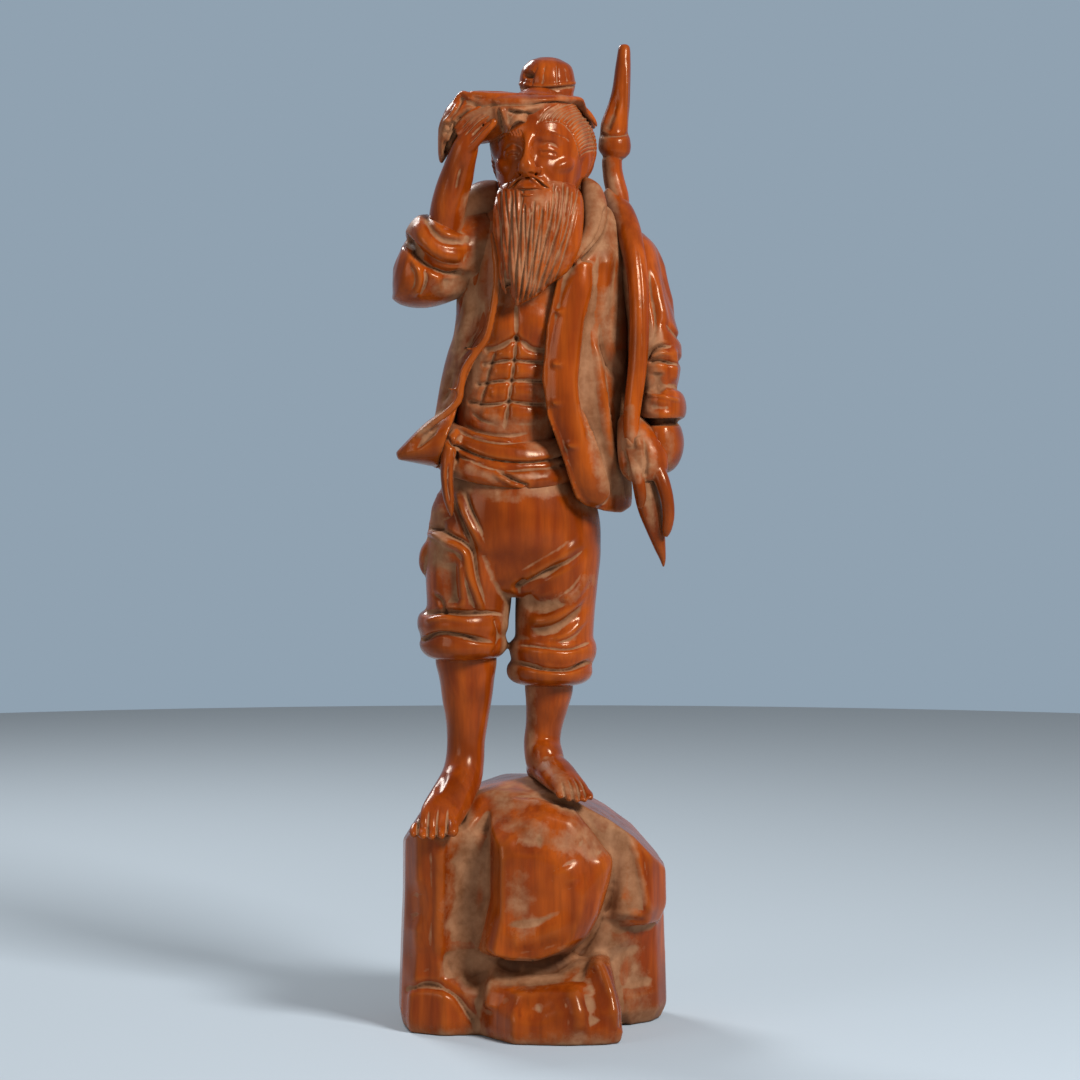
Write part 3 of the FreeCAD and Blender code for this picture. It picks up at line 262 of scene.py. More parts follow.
class Carving:
    """One piece under the gouge: its points, its normals and the faces between them."""

    def __init__(self, name, shape, grain, melt, opening=None, trim=None):
        self.name = name
        piece = rough(name, shape)
        spare = []
        if opening:
            even_skin(piece, grain)
            spare.append(rough(name + "_opening", opening))
            cut = piece.modifiers.new("opening", "BOOLEAN")
            cut.operation, cut.object, cut.solver, cut.use_self = "DIFFERENCE", spare[-1], "EXACT", True
        if trim:
            spare.append(rough(name + "_trim", trim))
            even_skin(spare[-1], grain)
            joined = piece.modifiers.new("trim", "BOOLEAN")
            joined.operation, joined.object, joined.solver = "UNION", spare[-1], "EXACT"
        even_skin(piece, grain)
        seen = piece.evaluated_get(bpy.context.evaluated_depsgraph_get())
        self.mesh = bpy.data.meshes.new_from_object(seen)
        for used in (piece, *spare):
            bpy.data.objects.remove(used)
        self.points = numbers(self.mesh.vertices, "co", float, 3)
        self.quads = numbers(self.mesh.loops, "vertex_index", int, 1).reshape(-1, 4)
        self.edges = numbers(self.mesh.edges, "vertices", int, 2)
        self.links = np.bincount(self.edges.ravel(), minlength=len(self.points)).clip(1)
        self.dust = np.zeros(len(self.points))
        self.melt(melt)
        self.smooth(3)

    def around(self, values):
        """For each point, the mean of a value over its neighbours."""
        total = np.empty_like(values)
        start, end = self.edges[:, 0], self.edges[:, 1]
        for axis in range(values.shape[1]):
            value = values[:, axis]
            count = len(value)
            total[:, axis] = np.bincount(start, value[end], count) + np.bincount(end, value[start], count)
        return total / self.links[:, None]

    def melt(self, rounds):
        """Rounds the edges and fills the corners between limbs."""
        for _ in range(rounds):
            self.points += (self.around(self.points) - self.points) * 0.5

    def smooth(self, rounds):
        """Evens the skin, and gives back the size that evening takes away."""
        for _ in range(rounds):
            for amount in EVENING:
                self.points += (self.around(self.points) - self.points) * amount

    def normals(self):
        """For each point, the way straight out of the wood."""
        first, second, third, fourth = (self.points[self.quads[:, i]] for i in range(4))
        area = np.cross(third - first, fourth - second)
        out = np.zeros_like(self.points)
        for corner in range(4):
            for axis in range(3):
                out[:, axis] += np.bincount(self.quads[:, corner], area[:, axis], len(out))
        return out / np.linalg.norm(out, axis=1, keepdims=True).clip(1e-9)

    def work(self, view, strokes):
        """Works strokes. Each: its kind, width, depth in millimetres, path in the view, and end fades."""
        look, toward = VIEWS[view]
        flat = look(self.points)
        normals = self.normals()
        facing = np.clip((normals @ np.array(toward) + BITE_PAST_EDGE) * BITE_RISE, 0, 1)
        moved = np.zeros(len(self.points))
        for kind, width, depth, path, *fades in strokes:
            near, profile, along = reach(flat, path, width, kind)
            fade_in, fade_out = fades[0] if fades else (0, 0)
            if fade_in:
                profile = profile * np.clip(along / fade_in, 0, 1)
            if fade_out:
                profile = profile * np.clip((1 - along) / fade_out, 0, 1)
            if kind == "dust":
                self.dust[near] += profile * facing[near] * depth
            else:
                moved[near] += profile * facing[near] * depth
        self.points += normals * moved[:, None]

    def finished(self, node_name, material):
        """Puts the piece in the scene, in metres, with the depth of its hollows kept for its dust, painted
        shade and painted sheen.
        """
        normals = self.normals()
        hollow = np.zeros(len(self.points))
        even = self.points.copy()
        for rounds, share in HOLLOW_SIZES:
            for _ in range(rounds):
                even += (self.around(even) - even) * 0.7
            hollow += np.einsum("ij,ij->i", even - self.points, normals) * share
        mesh = self.mesh
        mesh.vertices.foreach_set("co", (self.points * MM).ravel())
        mesh.polygons.foreach_set("use_smooth", np.ones(len(mesh.polygons), bool))
        for name, values in (("hollow", hollow), ("dust", self.dust)):
            layer = mesh.attributes.new(name, "FLOAT", "POINT")
            layer.data.foreach_set("value", values.astype(np.float32))
        mesh.materials.clear()
        mesh.materials.append(material)
        mesh.update()
        piece = placed(self.name, mesh)
        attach(piece, "root")
        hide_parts(node_name)


def reach(flat, path, width, kind):
    """The points that a stroke works on, how strongly, and how far along the stroke each lies, from 0 to 1."""
    path = np.array(path, float)
    if len(path) > 2:
        path = eased(np.hstack([path, np.zeros((len(path), 1))]), max(width * 0.6, 0.5))[:, :2]
    low, high = path.min(0) - width, path.max(0) + width
    near = np.where(((flat > low) & (flat < high)).all(1))[0]
    best = np.full(len(near), 1e9)
    side = np.ones(len(near))
    along = np.zeros(len(near))
    spans = np.linalg.norm(np.diff(path, axis=0), axis=1)
    starts = np.concatenate([[0], np.cumsum(spans)])
    for start, end, span, before in zip(path, path[1:], spans, starts):
        if span < 1e-9:
            continue
        heading = (end - start) / span
        away = flat[near] - start
        t = np.clip(away @ heading, 0, span)
        gap = away - t[:, None] * heading
        distance = np.hypot(gap[:, 0], gap[:, 1])
        closer = distance < best
        best[closer] = distance[closer]
        side[closer] = np.sign(heading[0] * gap[closer, 1] - heading[1] * gap[closer, 0])
        along[closer] = (before + t[closer]) / starts[-1]
    t = np.clip(best / width, 0, 1)
    shape = {
        "groove": lambda: -(1 - t) ** 1.3,
        "hollow": lambda: -(1 - t ** 2) ** 2,
        "ridge": lambda: (1 - t ** 2) ** 2,
        "step": lambda: np.where(side > 0, (1 - t) ** 2, -0.8 * (1 - t) ** 2),
        "dust": lambda: (1 - t ** 2) ** 2,
    }[kind]()
    return near, shape, along


# ---------- wood

RED_WOOD, GOLDEN_WOOD = (0.235, 0.031, 0.0016), (0.4, 0.07, 0.004)
DARK_PATCH, DARK_GRAIN = (0.125, 0.017, 0.0012), (0.11, 0.016, 0.0012)
# Lighter orange for the ridges: partly wear of the wood, partly a painted sheen.
RUBBED_EDGE_AND_SHEEN = (0.46, 0.12, 0.014)
DARK_DUST, PALE_DUST = (0.185, 0.078, 0.032), (0.36, 0.18, 0.09)
# Painted shade: a near-black laid over the dust where the wood is most closed in or most deeply hollowed.
PAINTED_DEEP_SHADE = (0.024, 0.01, 0.004)
WARM_POLISH = (1, 0.78, 0.56, 1)
# How far the wood looks about itself for walls that close a hollow, in millimetres.
HOLLOW_REACH = 9
# How high the wood's grain stands, in millimetres.
GRAIN_HEIGHT = 0.12


def node(tree, kind, **settings):
    """A new node, with its properties and its inputs set by name."""
    made = tree.nodes.new(kind)
    for name, value in settings.items():
        if hasattr(made, name):
            setattr(made, name, value)
        else:
            made.inputs[name].default_value = value
    return made


def boxwood():
    """Polished red-brown boxwood. Grey dust and painted shade lie in its hollows; wear and painted sheen
    lighten its rubbed edges.
    """
    material = bpy.data.materials.new("boxwood")
    material.use_nodes = True
    tree = material.node_tree
    link = tree.links.new
    shader = tree.nodes["Principled BSDF"]
    where = node(tree, "ShaderNodeTexCoord")

    def noise(scale, detail=4.0, roughness=0.55, stretch=(1, 1, 1)):
        mapping = node(tree, "ShaderNodeMapping")
        mapping.inputs["Scale"].default_value = stretch
        link(where.outputs["Object"], mapping.inputs["Vector"])
        made = node(tree, "ShaderNodeTexNoise", Scale=scale, Detail=detail, Roughness=roughness)
        link(mapping.outputs["Vector"], made.inputs["Vector"])
        return made.outputs["Fac"]

    def ranged(value, low, high, start=0.0, end=1.0):
        made = node(tree, "ShaderNodeMapRange", clamp=True)
        for name, number in zip(("From Min", "From Max", "To Min", "To Max"), (low, high, start, end)):
            made.inputs[name].default_value = number
        link(value, made.inputs["Value"])
        return made.outputs["Result"]

    def sums(operation, first, second):
        made = node(tree, "ShaderNodeMath", operation=operation, use_clamp=False)
        for socket, value in zip(made.inputs, (first, second)):
            if isinstance(value, (int, float)):
                socket.default_value = value
            else:
                link(value, socket)
        return made.outputs["Value"]

    def mixed(amount, first, second):
        made = node(tree, "ShaderNodeMix", data_type="RGBA")
        sockets = [socket for socket in made.inputs if socket.enabled]
        for socket, value in zip(sockets, (amount, first, second)):
            if isinstance(value, tuple):
                socket.default_value = (*value, 1)
            elif isinstance(value, float):
                socket.default_value = value
            else:
                link(value, socket)
        return next(socket for socket in made.outputs if socket.enabled)

    def carried(name):
        return node(tree, "ShaderNodeAttribute", attribute_name=name, attribute_type="GEOMETRY").outputs["Fac"]

    grain = noise(900, 5, 0.6, (1, 1, 0.05))
    streaks = noise(260, 3, 0.5, (1, 1, 0.12))
    patches = noise(45, 3, 0.55)
    mottle = noise(190, 5, 0.65)
    hollow = carried("hollow")
    shade = node(tree, "ShaderNodeAmbientOcclusion", samples=8)
    shade.inputs["Distance"].default_value = HOLLOW_REACH * MM
    closed = ranged(shade.outputs["AO"], 0.8, 0.3)
    dusty = sums("ADD", ranged(hollow, 0.1, 0.7), sums("MULTIPLY", closed, 0.75))
    dusty = sums("ADD", dusty, carried("dust"))
    dusty = sums("ADD", dusty, ranged(mottle, 0.3, 0.7, -0.3, 0.26))
    dust = ranged(dusty, 0.25, 0.85)

    wood = mixed(ranged(streaks, 0.35, 0.65), RED_WOOD, GOLDEN_WOOD)
    wood = mixed(ranged(patches, 0.4, 0.66, 0.0, 0.8), wood, DARK_PATCH)
    wood = mixed(ranged(grain, 0.45, 0.7, 0.0, 0.35), wood, DARK_GRAIN)
    # Convex ridges are lightened: partly wear, partly a painted sheen where light would catch them.
    rubbed_and_sheen = ranged(hollow, -0.3, -1.4, 0.0, 0.24)
    wood = mixed(rubbed_and_sheen, wood, RUBBED_EDGE_AND_SHEEN)
    dust_and_shade = mixed(ranged(mottle, 0.35, 0.65), DARK_DUST, PALE_DUST)
    # Painted shade: the dust is darkened nearly to black where ambient occlusion is strong or the hollow is
    # deep.
    deep = sums("MAXIMUM", ranged(shade.outputs["AO"], 0.28, 0.04, 0.0, 0.75),
                ranged(hollow, 1.2, 2.8, 0.0, 0.8))
    dust_and_shade = mixed(deep, dust_and_shade, PAINTED_DEEP_SHADE)
    link(mixed(sums("MULTIPLY", dust, 0.85), wood, dust_and_shade), shader.inputs["Base Color"])
    gloss = sums("ADD", ranged(dust, 0.0, 0.9, 0.2, 0.66), ranged(mottle, 0.3, 0.7, -0.05, 0.06))
    link(gloss, shader.inputs["Roughness"])
    shader.inputs["Specular IOR Level"].default_value = 0.28
    shader.inputs["Specular Tint"].default_value = WARM_POLISH
    bump = node(tree, "ShaderNodeBump", Strength=0.25, Distance=GRAIN_HEIGHT * MM)
    link(sums("ADD", sums("MULTIPLY", grain, 0.6), sums("MULTIPLY", mottle, 0.7)), bump.inputs["Height"])
    link(bump.outputs["Normal"], shader.inputs["Normal"])
    return material


# ---------- the rock

# Each mass: where it stands, its outline, and its levels from the floor up.
ROCK_MASSES = (
    ((0, 0, 0),
     ((-34, 6), (-33, -5), (-29.5, -11.5), (-22.9, -13.4), (-14, -6), (0, -5), (17, -6.5), (24, -3.5),
      (31.5, 3), (34, 9), (33.5, 18), (27, 26.5), (11, 30), (-13.6, 30), (-30, 23)),
     ((0, 0.95, 0, 1.5), (4, 1, 0, 0), (19.8, 0.985, 0, -0.3), (34.1, 0.965, 0, -3), (50.8, 0.95, -0.3, -5.1),
      (62, 0.86, -1, -3.6))),
    ((0, 0, 0),
     ((-14.8, -2), (-14.6, -13), (-10, -20), (-5, -27), (8, -28.8), (18, -27.5), (22.1, -25), (21.8, -1.2)),
     ((0, 0.97, 0, 0), (3.1, 1, 0, 0), (8.1, 0.985, 0, 0), (12.4, 0.9, 0.7, 0), (14.6, 0.74, 1.4, -1.2))),
    ((17, -14, 0),
     ((-5.3, 12), (-5.8, -8), (-1.4, -11.4), (3.6, -10.3), (3.8, 12)),
     ((0, 1, 0, 0), (12.4, 0.95, 0, 0), (19.2, 0.55, 0, 0))),
    ((-23, -5, 0),
     ((-10.5, 6), (-8, -6), (1, -11), (10, -9.5), (12, -1), (12, 7)),
     ((0, 0.93, 0, 0), (3.1, 1, 0, 0), (10.5, 0.95, 0, 0), (16.1, 0.68, 0, 0.6))),
    ((25, 2, 26),
     ((-8, -9), (-3, -11.5), (4.5, -10), (8.5, -3), (8.5, 8), (-8, 8)),
     ((0, 0.78, 0, 0), (4.5, 1, 0, 0), (18, 0.96, 0, 0), (31, 0.8, 0, 0))),
    ((0, 0, 0),
     ((-23, -12.4), (-17, -10.8), (-11, -11.6), (-9, -12.6), (-9, -4), (-23, -4)),
     ((8, 1, 0, 0), (30, 1, 0, -0.5), (50, 0.98, 0, -1.5))),
    ((0, 0, 0),
     ((-13, -4), (-12, -20), (-4, -24), (8, -25), (16, -22), (17, -4)),
     ((8, 1, 0, 0), (13, 0.96, 0, 1), (17, 0.84, 0.4, 3), (19.6, 0.7, 0.6, 5.2))))
BOULDER = (
    (4.6, 0, 39.5),
    ((-12.7, 19.1), (-2.9, 19.1), (5.7, 16.5), (9.3, 12.1), (15.2, 4.2), (14.7, -0.2), (12.3, -8.7),
     (9.3, -14.9), (4.5, -19), (-2.9, -21.2), (-12.7, -20.7), (-18.1, -18.5), (-15.1, -5.1), (-15.1, 18)),
    ((0, 1, 0, 0), (15, 1, 0, 0), (18.5, 0.9, -0.3, -0.8), (22, 0.66, -2.4, -6.3)))
RIDGE_CUT = (
    (-37.4, 40.9), (-25.8, 55.8), (-17, 57.7), (-8.2, 60.8), (-1.4, 62), (4.8, 60.8), (10.9, 57.4),
    (18.4, 53.3), (25.2, 48.4), (30.6, 42.8), (35.4, 37.2), (40.8, 37.2), (40.8, 74.4), (-37.4, 74.4))
LEDGE_CUT = ((-36, 47.1), (-20.4, 49), (-3.6, 53.9), (7.2, 56.4), (36, 54.6), (36, 74.4), (-36, 74.4))
BROW_CUT = ((-36, 55.2), (-16.2, 58.4), (7.2, 62), (36, 60.1), (36, 74.4), (-36, 74.4))
# The broad facet that falls from the top to the boulder's edge, to the front and the left.
SLOPE_BLOCK, SLOPE_MIDDLE = (34, 34, 40), (-1, -13, 20)
SLOPE_AT, SLOPE_FALL = (-14, -2, 61.5), (0.496, 0.861)
# How far each cut runs: the ridge's from front to back, the ledge's and the brow's from left to right.
RIDGE_RUN, LEDGE_RUN, BROW_RUN = (-60, 60), (-51, -17), (-17, 41)


def rock_shape(bm):
    for origin, outline, levels in ROCK_MASSES:
        mass(bm, origin, outline, levels)
    mass(bm, *BOULDER, forward=True)


def rock_cuts(bm):
    """What is cut away above the rock."""
    prism(bm, RIDGE_CUT, *RIDGE_RUN)
    prism(bm, LEDGE_CUT, *LEDGE_RUN, along="x")
    prism(bm, BROW_CUT, *BROW_RUN, along="x")
    block = bmesh.ops.create_cube(bm, size=1)["verts"]
    bmesh.ops.scale(bm, verts=block, vec=SLOPE_BLOCK)
    bmesh.ops.translate(bm, verts=block, vec=SLOPE_MIDDLE)
    x, y, z = SLOPE_AT
    fall_x, fall_y = SLOPE_FALL
    lean = Matrix(((1, 0, 0, 0), (0, 1, 0, 0), (fall_x, fall_y, 1, z - fall_x * x - fall_y * y), (0, 0, 0, 1)))
    bmesh.ops.transform(bm, matrix=lean, verts=block)


ROCK_STROKES = (
    ("hollow", 24, 1.0, [(466, 842), (464, 880), (462, 945)], (0.2, 0.2)),
    ("ridge", 8, 0.5, [(438, 845), (439, 900), (437, 960)], (0.1, 0.1)),
    ("hollow", 13, 1.0, [(416, 880), (418, 905), (413, 930)], (0.3, 0.3)),
    ("hollow", 16, 0.5, [(412, 940), (420, 965), (430, 985)], (0.3, 0.3)),
    ("groove", 8, 1.0, [(484, 960), (520, 967), (552, 966), (580, 954), (598, 932), (610, 902), (616, 870)],
     (0.1, 0.2)),
    ("ridge", 16, 1.0, [(500, 940), (540, 936), (575, 920)], (0.2, 0.3)),
    ("hollow", 16, 0.5, [(510, 835), (530, 842), (552, 838)], (0.2, 0.3)),
    ("hollow", 14, 0.5, [(578, 836), (592, 846), (604, 858)], (0.2, 0.2)),
    ("ridge", 18, 0.5, [(564, 866), (574, 886)], (0.2, 0.3)),
    ("ridge", 6, 0.6, [(628, 838), (638, 860), (649, 914)], (0.1, 0.1)),
    ("ridge", 6, 0.6, [(602, 917), (625, 913), (650, 916)], (0.1, 0.2)),
    ("hollow", 26, 1.3, [(618, 945), (632, 970), (640, 995)], (0.2, 0.2)),
    ("groove", 8, 1.5, [(606, 962), (616, 990), (623, 1024)]),
    ("hollow", 20, 1.4, [(490, 972), (530, 975), (575, 962)], (0.2, 0.2)),
    ("ridge", 12, 1.3, [(590, 958), (604, 966), (614, 1000), (618, 1030)], (0.1, 0.2)),
    ("hollow", 12, 0.5, [(588, 985), (592, 1005), (598, 1030)], (0.2, 0.2)),
    ("ridge", 12, 0.9, [(570, 985), (578, 1010), (580, 1035)], (0.2, 0.2)),
    ("hollow", 16, 0.9, [(500, 1000), (530, 1010), (556, 1004)], (0.3, 0.3)),
    ("hollow", 18, 1.1, [(440, 968), (468, 962), (482, 985)], (0.2, 0.2)),
    ("groove", 7, 1.2, [(404, 990), (430, 985), (455, 995), (478, 1030)], (0.1, 0.2)),
)
ROCK_DUST = (
    ("dust", 34, 0.75, [(466, 835), (464, 890), (464, 950)]),
    ("dust", 26, 0.75, [(495, 785), (530, 790), (580, 806), (620, 835)]),
    ("dust", 24, 0.6, [(500, 812), (540, 836), (595, 846)]),
    ("dust", 26, 0.55, [(520, 880), (520, 930)]),
    ("dust", 17, 0.9, [(618, 842), (624, 870), (616, 900), (634, 903), (630, 860)]),
    ("dust", 30, 0.6, [(615, 925), (630, 970), (640, 1005)]),
    ("dust", 26, 0.75, [(480, 972), (540, 975), (600, 945)]),
    ("dust", 22, 0.6, [(450, 968), (478, 990)]),
)


# ---------- legs and feet

RIGHT_LEG_PX = (
    (463, 640, 2, 26, 8), (466, 658, 2, 31, 8), (467, 680, 2.2, 27.5, 7.4), (467, 700, 2.4, 25, 6.6),
    (467, 720, 2.4, 21.5, 6.1), (466, 742, 2.4, 19.2, 5.8), (465, 760, 2, 19.5, 6),
    (462, 776, -0.2, 20.5, 5.8), (456, 790, -4.5, 21.5, 5), (448, 804, -10, 22, 3.8),
    (440, 817, -14.8, 21.5, 2.8), (434, 827, -18.2, 18, 1.8), (432.5, 831, -19.4, 14, 1))
RIGHT_FOOT_PX = (
    (467, 796, 8, 12, 3.2), (463, 794, 3, 17, 4.2), (457, 800, -3, 20, 4.6), (448, 807, -9, 21.5, 4),
    (437, 820, -14.5, 21.5, 2.8), (433, 829, -18, 19, 1.7), (432, 832, -19.6, 15, 0.9))
LEFT_LEG_PX = (
    (549, 665, 4, 22, 7), (549, 686, 4, 24.5, 7), (547, 705, 4.3, 21.5, 6.2), (544, 725, 4.6, 18.6, 5.5),
    (542, 742, 4.4, 18.4, 5.5), (544, 756, 3.2, 19.5, 6.6), (547, 770, 2.4, 19, 7.6))
LEFT_FOOT_PX = (
    (536, 770, 10, 11, 3), (543, 766, 5, 16, 3.8), (553, 771, -2, 19, 4.1), (563, 781, -8, 19.5, 3.2),
    (572, 790, -12.5, 18.5, 2.2), (575, 795, -14.5, 15, 1.2))
RIGHT_TOES_PX = (
    ((416, 826, -16.5, 5.6), (413.5, 832, -19, 5), (413, 836, -20.6, 3.4)),
    ((424.5, 829, -18, 5), (423, 835, -20.4, 4.6), (422.5, 838, -21.6, 3)),
    ((433, 830, -18.6, 5), (432, 836, -21, 4.6), (431.7, 839, -22, 3)),
    ((442, 829, -18.4, 5.2), (441.5, 835, -20.9, 4.8), (441.4, 838, -21.9, 3)),
    ((452.5, 824, -17, 6.6), (453, 831, -19.8, 6.2), (453, 835, -21.2, 4)))
LEFT_TOES_PX = (
    ((558, 790, -13, 4.4), (560, 795, -15.4, 4.2), (560.5, 798, -16.5, 2.6)),
    ((566, 793, -13.8, 4.2), (569, 798, -16.2, 4), (569.6, 801, -17.2, 2.5)),
    ((574, 794, -13.6, 4.2), (577, 799, -16, 4), (577.6, 802, -17, 2.5)),
    ((581.5, 794, -12.8, 4), (584.5, 799, -15.2, 3.8), (585, 801.5, -16.2, 2.4)),
    ((588.5, 792, -11.6, 3.8), (591, 797, -14, 3.5), (591.6, 799, -14.8, 2.2)))
TOE_STROKES = (
    ("groove", 2.4, 0.6, [(420, 806), (418, 820), (417, 838)], (0.4, 0)),
    ("groove", 2.4, 0.6, [(430, 804), (428, 820), (427, 840)], (0.4, 0)),
    ("groove", 2.4, 0.6, [(439, 806), (437, 822), (436.5, 840)], (0.4, 0)),
    ("groove", 2.4, 0.6, [(448, 808), (447, 822), (446, 840)], (0.4, 0)),
    ("hollow", 6, 0.5, [(446, 772), (436, 795)], (0.3, 0.3)),
    ("groove", 2.2, 0.55, [(560, 778), (563, 788), (565, 802)], (0.4, 0)),
    ("groove", 2.2, 0.55, [(566, 776), (571, 787), (573, 802)], (0.4, 0)),
    ("groove", 2.2, 0.55, [(571, 775), (577, 785), (580, 800)], (0.4, 0)),
    ("groove", 2.2, 0.55, [(575, 774), (582, 783), (586, 797)], (0.4, 0)),
    ("dust", 16, 0.6, [(548, 765), (560, 780), (575, 795)]),
    ("dust", 12, 0.7, [(528, 690), (530, 720), (530, 762)]),
    ("ridge", 10, 0.4, [(532, 750), (546, 748), (560, 756)], (0.2, 0.2)),
)


def leg_shape(leg, foot, toes):
    """A shin with its foot and its five toes."""
    def shape(bm):
        seen_limb(bm, leg)
        seen_limb(bm, foot, facing=UPWARD)
        for toe in toes:
            seen_strand(bm, toe)
    return shape


# ---------- clothes

PELVIS_PX = (
    (506, 462, 2, 58, 13), (507, 478, 2, 66, 14), (510, 497, 2, 77, 15.2), (513, 520, 2.5, 86, 15.8),
    (515, 548, 3, 86, 15.2), (514, 572, 3, 80, 12.5), (513, 586, 4, 60, 8))
RIGHT_THIGH_PX = (
    (472, 520, 2, 38, 12), (470, 545, 1.8, 43, 13), (469, 575, 1.5, 43.5, 12.6), (469, 600, 1.5, 42.5, 11.8),
    (467, 622, 1.5, 41, 11))
LEFT_THIGH_PX = (
    (556, 520, 3, 38, 12), (558, 545, 3, 43, 13), (557, 580, 3.5, 41, 12.6), (555, 610, 3.5, 40, 12),
    (554, 645, 3.5, 39, 11.4))
RIGHT_CUFF_PX = (
    ((463, 610, 1.5, 39, 11), (463, 613, 1.5, 43.5, 12.2), (463, 620, 1.5, 46, 13),
     (463, 628, 1.5, 45.5, 12.8), (463, 636, 1.5, 42, 11.8), (463, 640, 1.5, 40, 11.2)),
    ((463.5, 634, 1.5, 40, 11.4), (463.5, 638, 1.5, 43.5, 12.3), (463.5, 644, 1.5, 44.5, 12.6),
     (463.5, 651, 1.5, 42, 12), (463.5, 656, 1.5, 37, 10.6), (463.5, 659, 1.5, 28, 8)))
LEFT_CUFF_PX = (
    ((553, 637, 3.5, 38, 11), (553, 641, 3.5, 42.5, 12.2), (553, 649, 3.5, 44, 12.8),
     (553, 657, 3.5, 42.5, 12.4), (553, 664, 3.5, 39, 11.4), (553, 668, 3.5, 37, 11)),
    ((549.5, 660, 3.5, 38, 11), (549.5, 664, 3.5, 42, 12.1), (549.5, 671, 3.5, 43.5, 12.4),
     (549.5, 678, 3.5, 41, 11.6), (549.5, 682, 3.5, 36, 10), (549.5, 684.5, 3.5, 27, 7.6)))
HIP_FLAP_PX = (
    (432, 540, 2, 4, 4), (426, 550, 2, 5.5, 4), (423, 562, 3, 4.5, 3), (423, 570, 3, 2.5, 2),
    (424, 575, 3, 0.8, 0.8))
TROUSER_STROKES = (
    ("ridge", 15, 1.0, [(436, 488), (437, 505), (444, 520)], (0.2, 0.2)),
    ("groove", 5, 1.5, [(424, 527), (434, 529), (447, 524)], (0, 0.4)),
    ("ridge", 6, 1.1, [(456, 490), (464, 512), (476, 536), (484, 556)], (0.2, 0.4)),
    ("groove", 4, 0.9, [(451, 492), (459, 515), (469, 538), (478, 558)], (0.2, 0.4)),
    ("groove", 4, 0.8, [(464, 490), (472, 512), (484, 536)], (0.2, 0.4)),
    ("ridge", 6, 1.3, [(426, 531), (436, 535), (446, 542), (458, 547), (466, 556), (470, 578), (477, 598),
                       (482, 614)], (0.1, 0.1)),
    ("groove", 4.5, 1.1, [(428, 526), (440, 529), (452, 536), (465, 543), (474, 555), (478, 578), (485, 600)],
     (0.2, 0.3)),
    ("hollow", 14, 1.1, [(447, 556), (450, 580), (455, 606)], (0.2, 0.1)),
    ("ridge", 7, 0.8, [(461, 556), (461, 585), (463, 612)], (0.2, 0.2)),
    ("groove", 4, 0.9, [(432, 592), (440, 600), (444, 612)], (0.3, 0)),
    ("groove", 6, 1.2, [(515, 592), (519, 586), (527, 580)], (0.2, 0.2)),
    ("groove", 7, 1.4, [(520, 590), (535, 580), (550, 571), (572, 560), (590, 545)], (0, 0.5)),
    ("ridge", 8, 0.9, [(520, 580), (540, 568), (560, 556), (585, 540)], (0.2, 0.5)),
    ("hollow", 12, 1.0, [(522, 604), (545, 606), (565, 598)], (0.2, 0.4)),
    ("ridge", 7, 0.8, [(560, 604), (576, 592), (590, 572)], (0.2, 0.4)),
    ("ridge", 8, 0.9, [(522, 621), (548, 620), (570, 608), (588, 588)], (0.2, 0.3)),
    ("hollow", 8, 1.0, [(530, 633), (552, 630), (573, 617), (588, 602)], (0.2, 0.3)),
    ("ridge", 5, 0.6, [(550, 641), (570, 633), (588, 616)], (0.2, 0.3)),
    ("groove", 4, 1.3, [(419, 641), (438, 634), (460, 636), (480, 640), (500, 643)], (0.05, 0.3)),
    ("groove", 4, 1.0, [(420, 614), (440, 611), (465, 613), (490, 613), (504, 615)], (0.1, 0.2)),
    ("groove", 3.5, 0.4, [(494, 618), (498, 632), (497, 645), (492, 656)], (0.1, 0.1)),
    ("ridge", 5, 0.6, [(424, 622), (445, 618), (470, 622)], (0.1, 0.5)),
    ("groove", 4, 1.3, [(512, 661), (527, 665), (545, 669), (568, 670), (592, 661)], (0.3, 0.1)),
    ("groove", 4, 0.8, [(510, 646), (525, 645), (550, 648), (570, 649), (592, 642)], (0.2, 0.1)),
)
TROUSER_DUST = (
    ("dust", 20, 0.7, [(425, 500), (440, 530), (430, 560)]),
    ("dust", 14, 0.6, [(450, 480), (500, 495), (560, 488)]),
    ("dust", 18, 0.55, [(446, 560), (447, 600)]),
    ("dust", 12, 0.9, [(512, 600), (509, 655), (514, 690)]),
    ("dust", 14, 0.4, [(530, 605), (565, 600), (590, 580)]),
)


def trousers_shape(bm):
    for rows in (PELVIS_PX, RIGHT_THIGH_PX, LEFT_THIGH_PX, HIP_FLAP_PX, *RIGHT_CUFF_PX, *LEFT_CUFF_PX):
        seen_limb(bm, rows, sides=40)


# The sash sags in front and leans down to the viewer's right.
SASH = (
    ((139.4, -6, 1.8, 15.5, 13), (139.9, -6, 1.8, 17.8, 15), (142, -6.2, 1.8, 18.8, 15.9),
     (144.4, -6.3, 1.8, 17.8, 15), (145.1, -6.3, 1.8, 15.5, 13)),
    ((144.9, -6.3, 1.7, 15, 12.6), (145.4, -6.3, 1.7, 17.2, 14.4), (147.6, -6.4, 1.6, 17.8, 14.9),
     (149.8, -6.5, 1.5, 16.8, 14), (150.6, -6.5, 1.5, 14.5, 12)))
SASH_SAG, SASH_LEAN = 0.3, 0.125
SASH_X, SASH_Y = -6, 2
SASH_TAIL_PX = (
    (456, 432, -8, 5, 2), (451, 444, -10, 8, 2.4), (447.5, 460, -11.2, 7, 2.4), (447, 480, -11.8, 6.4, 2.3),
    (449, 500, -11.8, 5.4, 2), (451, 512, -11.6, 2.8, 1.2), (451.6, 517, -11.4, 0.8, 0.6))
